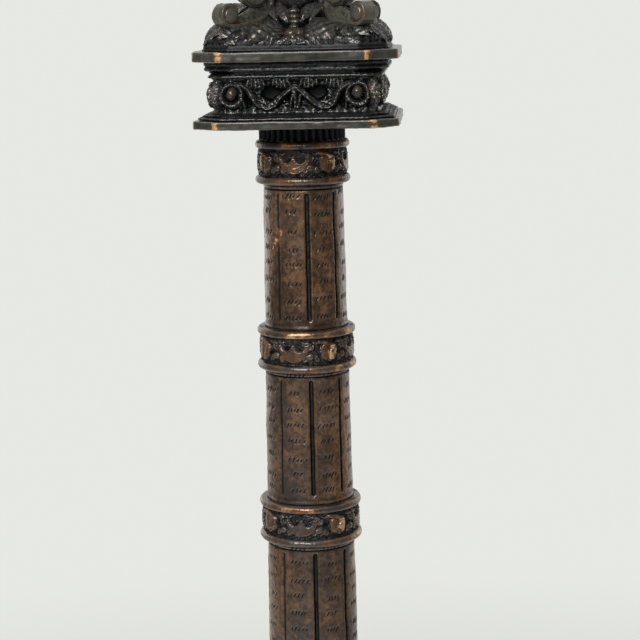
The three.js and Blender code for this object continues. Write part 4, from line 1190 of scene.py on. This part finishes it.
def vase_surface(node):
    """The vase over the crown: a ringed waist and a cup of upright leaves under a flat lip."""
    z, top = node_z(node)
    share = np.linspace(0, 1, 18)
    cup = zip(19 + 24 * np.sin(QUARTER * share), 49 * (0.28 + 0.66 * share ** 1.4))
    foot = [(13, 0), (20.4, 0), (21.2, 0.8), (23.4, 2.6), (24, 5), (23.4, 7.4), (21.4, 9.4),
            (20, 10.6), (20.6, 11.8), (19.6, 12.8)]
    lip = [(46.6, 46.8), (48, 47.6), (48.2, 48.8), (49.6, 50.2), (50, 51.6), (49.6, 53.2),
           (48.8, 54), (13, 54)]

    def leaves(radius, height, angle):
        rise = (height - z) / (top - z)
        blade = np.abs(np.cos(6 * angle)) ** (0.5 + 1.2 * ramp(0.45, 0.85, rise))
        veins = 0.12 * np.cos(72 * angle * (1 - 0.25 * rise)) + 0.35 * np.exp(
            -(np.abs(np.sin(6 * angle)) / 0.09) ** 2)
        inside = ramp(0.24, 0.32, rise) * ramp(0.88, 0.8, rise) * (radius > 14 * MM)
        return 1.5 * MM * (blade - 1 + veins * blade) * inside

    return turned_shell([*foot, *cup, *lip], z, 216, 112, leaves)


def socket_surface(node):
    """The candle's cup: beaded foot and rim, three turned lines and a girdle of gadroons."""
    z, _ = node_z(node)
    foot = [(0, 8.4), (6.4, 8.4), (6.4, 0), (35.4, 0)]
    low_bead = arc_points(35.7, 2, 2, -80, 80, 9)
    wall = [(36, 4.3), (36, 22), (36.8, 22.6), (36.8, 24), (36, 24.6), (35.4, 26), (35.4, 45),
            (36, 46.4), (36.8, 47), (36.8, 48.4), (36, 49), (36, 63.6)]
    high_bead = arc_points(35.7, 66, 2, -80, 80, 9)
    inside = [(35, 68), (33.2, 68), (32.5, 67), (32.5, 12), (0, 12)]
    lobes = gadroons(24, 1.1 * MM, z + 5 * MM, z + 21.5 * MM)
    plaits = gadroons(36, 0.7 * MM, z + 26.5 * MM, z + 44.5 * MM)

    def relief(radius, height, angle):
        twist = angle + (height - z) / (26 * MM)
        carved = lobes(radius, height, angle) + plaits(radius, height, twist)
        return carved * (radius > 33 * MM)

    return turned_shell(foot + low_bead + wall + high_bead + inside, z, 192, 140, relief)


def pan_surface(node):
    """The drip pan: a shallow dish with a rolled rim and turned rings in its floor."""
    z, _ = node_z(node)
    under = [(38.8, 0), (77, 0), (79.6, 0.5), (84.4, 3.4), (87.4, 6.2), (90.8, 10.6)]
    rim = arc_points(92.4, 13.4, 1.6, -110, 150, 14)
    floor = [(88.6, 12), (86.2, 9.0), (82.6, 6.0), (78.2, 3.6), (74.6, 3.0), (73.8, 3.7),
             (72.6, 3.7), (71.8, 3.0), (50.4, 3.0), (49.6, 3.7), (48.4, 3.7), (47.6, 3.0),
             (38.8, 3.0)]

    def uneven(radius, height, angle):
        beads = np.abs(np.cos(32 * angle)) ** 0.8 - 0.5
        rim_share = ramp(91 * MM, 92.5 * MM, radius) * ramp(12.4 * MM, 13.4 * MM, height - z)
        wave = 0.16 * np.cos(3 * angle + 1) * ramp(60 * MM, 90 * MM, radius)
        return (0.55 * beads * rim_share + wave) * MM

    return turned_shell(under + rim + floor, z, 320, 88, uneven)


# Paw feet

def paw_surfaces(reach, angle):
    """A lion's paw: four jointed toes with claws, a pad and an ankle sheathed in leaves.

    A toe is a tube along an arched path whose radius swells at its two joints.
    """
    grids = []
    share = np.linspace(0, 1, 22)
    swell = 8.3 + 1.2 * np.cos(TAU * (share * 2 - 0.35)) - 1.6 * share
    for across, lead in ((-16, 0), (-5.4, 5), (5.4, 5), (16, 0)):
        spread = across * 1.1
        path = curve(((-6, across * 0.8, 15), (4 + lead, across, 20), (14 + lead, spread, 17),
                      (22 + lead, spread, 9.5), (24.5 + lead, spread, 5)), 6)
        grids.append(limb(resampled(path, 22), swell, 20))
        claw = curve(((21 + lead, spread, 9), (26.5 + lead, spread, 8.2),
                      (29.5 + lead, spread, 3.2)), 6)
        grids.append(limb(resampled(claw, 12), np.linspace(3.2, 0.7, 12), 12))
    grids.append(ball((0, 0, 6), (25, 22, 12), 0, 0, 18, 36))
    rise = np.linspace(0, 1, 26)
    leg = np.stack((-6 - 1.5 * np.sin(math.pi * rise), 0 * rise, 45.6 * rise), -1)
    girth = np.interp(rise, (0, 0.35, 0.6, 0.85, 1), (15, 14.6, 15.4, 19.5, 23.6))
    grids.append(limb(leg, girth, 48, lobes=12, depth=0.06))
    for turn in (-150, -105, -60, -20, 20, 60, 105, 150):
        out = np.array((math.cos(math.radians(turn)), math.sin(math.radians(turn)), 0.0))
        grids.append(leaf(out * 13.5 + (-6, 0, 9), out * 24 + (-6, 0, 43.5), out, 13, -2.2, 4,
                          0.6))
    grids = [np.concatenate((g[..., :2], np.maximum(g[..., 2:], 0)), -1) for g in grids]
    return [surface(turned_by(grid * MM + (reach, 0, 0), angle), edge_wear(grid, 1.5, 1))
            for grid in grids]


# Materials

class Graph:
    """The nodes of one material or world."""

    def __init__(self, owner):
        owner.use_nodes = True
        self.nodes = owner.node_tree.nodes
        self.link = owner.node_tree.links.new

    def node(self, kind, **values):
        """A new node, with values on its inputs. An underscore in a name stands for a space."""
        node = self.nodes.new("ShaderNode" + kind)
        for name, value in values.items():
            node.inputs[name.replace("_", " ")].default_value = value
        return node

    def math(self, operation, first, second, clamp=False):
        """A Math node on two inputs, each a socket or a number."""
        node = self.node("Math")
        node.operation = operation
        node.use_clamp = clamp
        for socket, value in zip(node.inputs, (first, second)):
            if isinstance(value, (int, float)):
                socket.default_value = value
            else:
                self.link(value, socket)
        return node.outputs[0]

    def plus(self, first, second, clamp=False):
        """The sum of two inputs."""
        return self.math("ADD", first, second, clamp)

    def times(self, first, second):
        """The product of two inputs."""
        return self.math("MULTIPLY", first, second)

    def larger(self, first, second):
        """The larger of two inputs."""
        return self.math("MAXIMUM", first, second)

    def noise(self, place, scale, detail, roughness, stretch=None):
        """Noise on some coordinates, from 0 to 1, stretched by three factors if given."""
        if stretch:
            mapping = self.node("Mapping", Scale=stretch)
            self.link(place, mapping.inputs["Vector"])
            place = mapping.outputs["Vector"]
        node = self.node("TexNoise", Scale=scale, Detail=detail, Roughness=roughness)
        self.link(place, node.inputs["Vector"])
        return node.outputs["Fac"]

    def mapped(self, value, low, high, to_low=0.0, to_high=1.0):
        """A smooth Map Range from low..high to to_low..to_high."""
        node = self.node("MapRange", From_Min=low, From_Max=high, To_Min=to_low, To_Max=to_high)
        node.interpolation_type = "SMOOTHSTEP"
        self.link(value, node.inputs["Value"])
        return node.outputs["Result"]

    def mixed(self, factor, first, second):
        """A colour mix of two sockets or colours."""
        node = self.node("Mix")
        node.data_type = "RGBA"
        self.link(factor, node.inputs["Factor"])
        for socket, value in ((node.inputs[6], first), (node.inputs[7], second)):
            if hasattr(value, "is_linked"):
                self.link(value, socket)
            else:
                socket.default_value = (*value, 1)
        return node.outputs[2]

    def bumps(self, height, strength, millimetres):
        """The normal that a height gives."""
        node = self.node("Bump", Strength=strength, Distance=millimetres * MM)
        self.link(height, node.inputs["Height"])
        return node.outputs["Normal"]


def bronze(material):
    """Patinated bronze, with copper patches, pale specks (bloom, and painted glints), grime in
    hollows that is painted shade in the deepest, and rubbed edges.

    It reads the wear attribute, and bare metal shows where wear and noise together are high.
    A veil of grey bloom lies over it in broad clouds.
    """
    _, base, lighter, shares = FINISHES[material.name]
    copper, specks, olive, bump, shine, veil = shares
    finish = bpy.context.scene.candlestick.finish
    patina = [lighter * c for c in getattr(finish, base)]
    graph = Graph(material)
    shader = graph.nodes["Principled BSDF"]
    place = graph.node("TexCoord").outputs["Object"]
    attribute = graph.node("Attribute")
    attribute.attribute_name = "wear"
    wear = attribute.outputs["Fac"]
    broad = graph.noise(place, 24, 5, 0.62, (1, 1, 0.5))
    middle = graph.noise(place, 85, 5, 0.65)
    fine = graph.noise(place, 330, 4, 0.62)
    speck = graph.noise(place, 1150, 3, 0.6)
    shade = graph.mapped(graph.times(graph.plus(broad, fine), 0.5), 0.36, 0.62)
    colour = graph.mixed(shade, [0.45 * c for c in patina], [1.5 * c for c in patina])
    patch = graph.mapped(graph.plus(broad, graph.times(middle, 0.5)),
                         0.94 - 0.4 * copper, 1.06 - 0.28 * copper)
    patch = graph.times(patch, graph.mapped(fine, 0.36, 0.62, 0.05, 0.75))
    colour = graph.mixed(patch, colour, finish.copper)
    cloud = graph.mapped(graph.noise(place, 13, 4, 0.6, (1, 1, 0.6)), 0.42, 0.62, 0, veil)
    colour = graph.mixed(cloud, colour, finish.bloom_and_glints)
    worn_skin = graph.mapped(graph.plus(wear, graph.times(middle, 0.5)), 0.2, 0.75, 0, olive)
    colour = graph.mixed(worn_skin, colour, finish.olive)
    # Pale specks: bloom, and painted glints.
    dust_and_glints = graph.times(graph.mapped(speck, 0.55, 0.66),
                       graph.mapped(middle, 0.42, 0.64, 0, specks))
    colour = graph.mixed(dust_and_glints, colour, finish.bloom_and_glints)
    # Grime: near-black dirt in the hollows, which in the deepest, such as the frieze's niches, is
    # painted shade.
    deep = graph.plus(wear, graph.times(fine, 0.3))
    grime_and_shade = graph.mapped(deep, -0.42, 0.08, 1, 0)
    colour = graph.mixed(grime_and_shade, colour, finish.grime_and_shade)
    crust = graph.times(graph.mapped(wear, -1.9, -1.4, 1, 0),
                        graph.mapped(fine, 0.36, 0.56, 0.4, 1))
    colour = graph.mixed(crust, colour, finish.deposit)
    high = graph.plus(wear, graph.times(fine, 0.8))
    high = graph.plus(graph.plus(high, graph.times(middle, 0.55)), shine - 1.0)
    rubbed = graph.mapped(high, 0.92, 1.3)
    bright = graph.mapped(high, 1.2, 1.6)
    colour = graph.mixed(rubbed, colour, finish.copper)
    colour = graph.mixed(bright, colour, finish.brass)
    graph.link(colour, shader.inputs["Base Color"])
    # In the deepest hollows the metal share rises, so the near-black colour gives no diffuse light
    # and renders black: painted shade.
    metal = graph.larger(graph.mapped(high, 0.75, 1.35, 0.15, 0.7),
                         graph.mapped(deep, -0.75, -0.4, 0.95, 0))
    graph.link(metal, shader.inputs["Metallic"])
    rough = graph.plus(graph.mapped(middle, 0.3, 0.7, 0.24, 0.42),
                       graph.times(graph.larger(grime_and_shade, bright), 0.22))
    graph.link(rough, shader.inputs["Roughness"])
    # The coat thins under grime and painted shade, so that the hollows mirror nothing.
    graph.link(graph.mapped(grime_and_shade, 0, 1, 0.5, 0.03), shader.inputs["Coat Weight"])
    shader.inputs["Coat Roughness"].default_value = 0.16
    shader.inputs["Coat IOR"].default_value = 1.6
    normal = graph.bumps(graph.plus(fine, graph.times(speck, 0.5)), bump, 0.35)
    graph.link(normal, shader.inputs["Normal"])
    graph.link(normal, shader.inputs["Coat Normal"])


def iron(material):
    """Dull forged iron: dark grey with rust-brown patches and a rough skin."""
    graph = Graph(material)
    shader = graph.nodes["Principled BSDF"]
    place = graph.node("TexCoord").outputs["Object"]
    broad = graph.noise(place, 45, 5, 0.65)
    fine = graph.noise(place, 420, 3, 0.6)
    rust = graph.mapped(broad, 0.5, 0.68)
    graph.link(graph.mixed(rust, IRON, RUST), shader.inputs["Base Color"])
    graph.link(graph.mapped(broad, 0.4, 0.7, 0.85, 0.3), shader.inputs["Metallic"])
    graph.link(graph.mapped(fine, 0.3, 0.7, 0.45, 0.75), shader.inputs["Roughness"])
    graph.link(graph.bumps(fine, 0.35, 0.3), shader.inputs["Normal"])


def finish_of(name):
    """The material of that name, made the first time it is asked for."""
    material = bpy.data.materials.get(name)
    if not material:
        material = bpy.data.materials.new(name)
        make = bronze if name in FINISHES else iron
        make(material)
    return material


# Operators

class CANDLESTICK_OT_stem_tubes(bpy.types.Operator):
    """Carve the stem's tubes with their grooves and chisel marks"""

    bl_idname = "candlestick.stem_tubes"
    bl_label = "Stem tubes"

    def execute(self, context):
        settings = context.scene.candlestick.stem
        tubes = nodes_named("stem_tube")
        for i, node in enumerate(tubes, start=1):
            low = node_z(f"stem_band_{i}")[1] + SEAT_GAP
            high = node_z(f"stem_band_{i + 1}")[0] - SEAT_GAP
            rng = np.random.default_rng(TUBE_SEED + i)
            rubbed = [TOP_RUB] if node == tubes[-1] else []
            shape = tube_surface(low, high, settings, rng, rubbed)
            make_piece(f"grooved_tube_{i}", [shape], "stem_finish", node)
        return {"FINISHED"}


class CANDLESTICK_OT_stem_bands(bpy.types.Operator):
    """Carve the bands of leaves and shields between the stem's tubes"""

    bl_idname = "candlestick.stem_bands"
    bl_label = "Stem bands"

    def execute(self, context):
        settings = context.scene.candlestick.stem
        bands = nodes_named("stem_band")
        for i, node in enumerate(bands, start=1):
            turn = settings.motif_turn - math.radians(6) * (i % 2)
            dull = 0.4 if node == bands[-1] else 0
            shape = band_surface(node, settings, turn, BAND_SEED + 10 * i, dull)
            make_piece(f"carved_band_{i}", [shape], "band_finish", node)
        return {"FINISHED"}


class CANDLESTICK_OT_neck(bpy.types.Operator):
    """Make the fluted neck under the capital"""

    bl_idname = "candlestick.neck"
    bl_label = "Fluted neck"

    def execute(self, context):
        make_piece("fluted_collar", [neck_surface("fluted_neck")], "dark_finish", "fluted_neck")
        return {"FINISHED"}


class CANDLESTICK_OT_plates(bpy.types.Operator):
    """Cast the plates under and over the two carved friezes"""

    bl_idname = "candlestick.plates"
    bl_label = "Plates"

    def execute(self, context):
        plates = (("capital_plate", CAPITAL, CAPITAL.plate_cut),
                  ("capital_top_plate", CAPITAL, CAPITAL.top_cut),
                  ("base_plate", BASE, BASE.plate_cut), ("base_top_plate", BASE, BASE.top_cut))
        for i, (node, casting, cut) in enumerate(plates):
            shape = plate_surface(node, cut, casting.edge, PLATE_SEED + 10 * i)
            make_piece(f"{node}_casting", [shape], "plate_finish", node)
        return {"FINISHED"}


class CANDLESTICK_OT_friezes(bpy.types.Operator):
    """Carve the garlands and eyes round the capital and the base"""

    bl_idname = "candlestick.friezes"
    bl_label = "Friezes"

    def execute(self, context):
        shape = panel_surface(CAPITAL, "capital_frieze", FRIEZE_SEED)
        make_piece("garland_frieze", [shape], "dark_finish", "capital_frieze")
        for i, side in enumerate(SIDES):
            node = f"base_panel_{side}"
            shape = panel_surface(BASE, node, FRIEZE_SEED + 10, i)
            make_piece(f"garland_panel_{side}", [shape], "dark_finish", node)
        return {"FINISHED"}


class CANDLESTICK_OT_hills(bpy.types.Operator):
    """Carve the leafy hills over the capital and the base, with their foliage"""

    bl_idname = "candlestick.hills"
    bl_label = "Leafy hills"

    def execute(self, context):
        shape = hill_surface(CAPITAL, "crown_hill", HILL_SEED)
        make_piece("crown_bank", [shape], "dark_finish", "crown_hill")
        for i, side in enumerate(SIDES):
            shapes = foliage_surfaces(CAPITAL, "crown_hill", HILL_SEED + 10 + i, i * QUARTER)
            make_piece(f"crown_foliage_{side}", shapes, "dark_finish", weld=True)
        for i, side in enumerate(SIDES):
            node = f"base_hill_{side}"
            shape = hill_surface(BASE, node, HILL_SEED + 20, i)
            make_piece(f"base_bank_{side}", [shape], "dark_finish", node)
            shapes = foliage_surfaces(BASE, node, HILL_SEED + 30 + i, i * QUARTER)
            make_piece(f"base_foliage_{side}", shapes, "dark_finish", weld=True)
        return {"FINISHED"}


class CANDLESTICK_OT_scrolls(bpy.types.Operator):
    """Roll the eight scroll brackets on the corners of the hills"""

    bl_idname = "candlestick.scrolls"
    bl_label = "Scroll brackets"

    def execute(self, context):
        for part, hill, casting in (("crown", "crown_hill", CAPITAL),
                                    ("base", "base_hill_front", BASE)):
            for i, corner in enumerate(CORNERS):
                shapes = scroll_surfaces(casting, hill, (i - 0.5) * QUARTER, SCROLL_SEED + i)
                make_piece(f"{part}_bracket_{corner}", shapes, "bracket_finish",
                           f"{part}_scroll_{corner}", weld=True)
        return {"FINISHED"}


class CANDLESTICK_OT_turned(bpy.types.Operator):
    """Turn and carve the knop, the vase, the candle's socket and the drip pan"""

    bl_idname = "candlestick.turned"
    bl_label = "Knop, vase, socket and pan"

    def execute(self, context):
        for name, turn, node, weld, body in (
                ("gadrooned_knop", knop_surface, "base_knop", False, STAND),
                ("leafy_vase", vase_surface, "crown_vase", False, STAND),
                ("candle_cup", socket_surface, "candle_socket", True, STAND),
                ("beaded_pan", pan_surface, "drip_pan", False, PAN)):
            make_piece(name, [turn(node)], "rubbed_finish", node, weld, body)
        return {"FINISHED"}


class CANDLESTICK_OT_paws(bpy.types.Operator):
    """Model the four lion's paws under the base"""

    bl_idname = "candlestick.paws"
    bl_label = "Paw feet"

    def execute(self, context):
        for i, corner in enumerate(CORNERS):
            low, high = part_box(f"foot_screw_{corner}")
            middle = (low + high) / 2
            reach = math.hypot(middle.x, middle.y) + PAW_OFFSET
            shapes = paw_surfaces(reach, (i - 0.5) * QUARTER)
            make_piece(f"lion_paw_{corner}", shapes, "dark_finish", f"paw_foot_{corner}",
                       weld=True)
        return {"FINISHED"}


class CANDLESTICK_OT_ironwork(bpy.types.Operator):
    """Finish the iron rod, washer, nut and screws, which keep their plain shape"""

    bl_idname = "candlestick.ironwork"
    bl_label = "Ironwork"

    def execute(self, context):
        for name in nodes_named(""):
            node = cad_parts[name]
            if not node.hide_render:
                node.data.materials.clear()
                node.data.materials.append(finish_of("forged_iron"))
        return {"FINISHED"}


def aim(position, azimuth, pitch, roll):
    """A camera's matrix: it looks along azimuth, pitch radians down, then tilts by roll."""
    forward = Vector((math.sin(azimuth) * math.cos(pitch),
                      math.cos(azimuth) * math.cos(pitch), -math.sin(pitch)))
    right = forward.cross(Vector((0, 0, 1))).normalized()
    up = right.cross(forward)
    tilted = right * math.cos(roll) + up * math.sin(roll)
    matrix = Matrix((tilted, tilted.cross(forward), -forward)).transposed().to_4x4()
    matrix.translation = position
    return matrix


def add_camera(settings):
    """The photograph's camera, out from the stem's axis and just above the capital."""
    plate_top = node_z("capital_top_plate")[1]
    camera = bpy.data.objects.new("camera", bpy.data.cameras.new("camera"))
    camera.data.lens = settings.lens
    camera.data.sensor_width = 36
    turn = settings.azimuth
    place = Vector((settings.distance * math.sin(turn), -settings.distance * math.cos(turn),
                    plate_top + settings.above_plate))
    camera.matrix_world = aim(place, settings.pan - turn, settings.pitch, settings.roll)
    bpy.context.scene.collection.objects.link(camera)
    bpy.context.scene.camera = camera


def add_lamp(name, place, size, power):
    """A square area lamp that faces the middle of the stem."""
    lamp = bpy.data.lights.new(name, "AREA")
    lamp.size = size
    lamp.energy = power
    thing = bpy.data.objects.new(name, lamp)
    thing.location = place
    way = Vector(LAMP_TARGET) - Vector(place)
    thing.rotation_euler = way.to_track_quat("-Z", "Y").to_euler()
    bpy.context.scene.collection.objects.link(thing)


def add_floor(settings):
    """A pale disc that fades out towards its rim, so that it has no edge against the back."""
    radius = np.array([0.001, 0.4, 1.2, 2.2])[:, None]
    points = round_points(radius, 0 * radius, angles(96))[::-1]
    vertices, faces, _ = surface(points, points[..., 2])
    mesh = bpy.data.meshes.new("floor")
    mesh.from_pydata(vertices.tolist(), [], faces[:, ::-1].tolist())
    material = bpy.data.materials.new("pale_floor")
    graph = Graph(material)
    shader = graph.nodes["Principled BSDF"]
    shader.inputs["Base Color"].default_value = (*settings.floor_colour, 1)
    shader.inputs["Roughness"].default_value = 0.9
    away = graph.node("VectorMath")
    away.operation = "LENGTH"
    graph.link(graph.node("TexCoord").outputs["Object"], away.inputs[0])
    graph.link(graph.mapped(away.outputs["Value"], 0.7, 2.1, 1, 0), shader.inputs["Alpha"])
    mesh.materials.append(material)
    floor = bpy.data.objects.new("floor", mesh)
    bpy.context.scene.collection.objects.link(floor)


def add_world(settings):
    """Soft ambient light, with the background's own colour where it is seen or reflected."""
    world = bpy.data.worlds.new("studio")
    bpy.context.scene.world = world
    graph = Graph(world)
    graph.nodes.clear()
    out = graph.node("OutputWorld")
    light = graph.node("Background", Color=(1, 1, 1, 1), Strength=settings.ambient)
    seen = graph.node("Background", Color=(*settings.back_colour, 1))
    ray = graph.node("LightPath").outputs
    mirrored = graph.plus(ray["Is Glossy Ray"], ray["Is Transmission Ray"], clamp=True)
    heading = graph.node("SeparateXYZ")
    graph.link(graph.node("TexCoord").outputs["Generated"], heading.inputs[0])
    behind = graph.mapped(heading.outputs["Y"], 0.1, 1.0, settings.front_share, 0.8)
    above = graph.mapped(heading.outputs["Z"], 0.5, 0.8, 0, settings.top_share)
    strength = graph.larger(graph.larger(behind, above), ray["Is Camera Ray"])
    graph.link(strength, seen.inputs["Strength"])
    either = graph.plus(ray["Is Camera Ray"], mirrored, clamp=True)
    mix = graph.node("MixShader")
    graph.link(either, mix.inputs["Fac"])
    graph.link(light.outputs[0], mix.inputs[1])
    graph.link(seen.outputs[0], mix.inputs[2])
    graph.link(mix.outputs[0], out.inputs["Surface"])


class CANDLESTICK_OT_stage(bpy.types.Operator):
    """Set the camera, the floor, the lamps and the background"""

    bl_idname = "candlestick.stage"
    bl_label = "Stage"

    def execute(self, context):
        settings = context.scene.candlestick.stage
        add_camera(settings)
        add_floor(settings)
        add_world(settings)
        for name, (place, size, power) in LAMPS.items():
            add_lamp(name, place, size, power)
        context.scene.view_settings.view_transform = "Standard"
        return {"FINISHED"}


class CANDLESTICK_PT_panel(bpy.types.Panel):
    """Lists the candlestick's makers"""

    bl_idname = "CANDLESTICK_PT_panel"
    bl_label = "Paschal candlestick"
    bl_space_type = "VIEW_3D"
    bl_region_type = "UI"
    bl_category = "Candlestick"

    def draw(self, context):
        for maker in MAKERS:
            self.layout.operator(maker.bl_idname)


MAKERS = (
    CANDLESTICK_OT_stem_tubes,
    CANDLESTICK_OT_stem_bands,
    CANDLESTICK_OT_neck,
    CANDLESTICK_OT_plates,
    CANDLESTICK_OT_friezes,
    CANDLESTICK_OT_hills,
    CANDLESTICK_OT_scrolls,
    CANDLESTICK_OT_turned,
    CANDLESTICK_OT_paws,
    CANDLESTICK_OT_ironwork,
    CANDLESTICK_OT_stage,
)
CLASSES = (StemSettings, FinishSettings, StageSettings, CandlestickSettings,
           *MAKERS, CANDLESTICK_PT_panel)


def register():
    """Make the settings, the operators and the panel known to Blender."""
    for cls in CLASSES:
        bpy.utils.register_class(cls)
    bpy.types.Scene.candlestick = PointerProperty(type=CandlestickSettings)


def unregister():
    """Take them away again."""
    del bpy.types.Scene.candlestick
    for cls in reversed(CLASSES):
        bpy.utils.unregister_class(cls)


def main():
    """Build everything in order."""
    register()
    for maker in MAKERS:
        getattr(bpy.ops.candlestick, maker.bl_idname.split(".")[1])()
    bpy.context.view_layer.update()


if __name__ == "__main__":
    main()
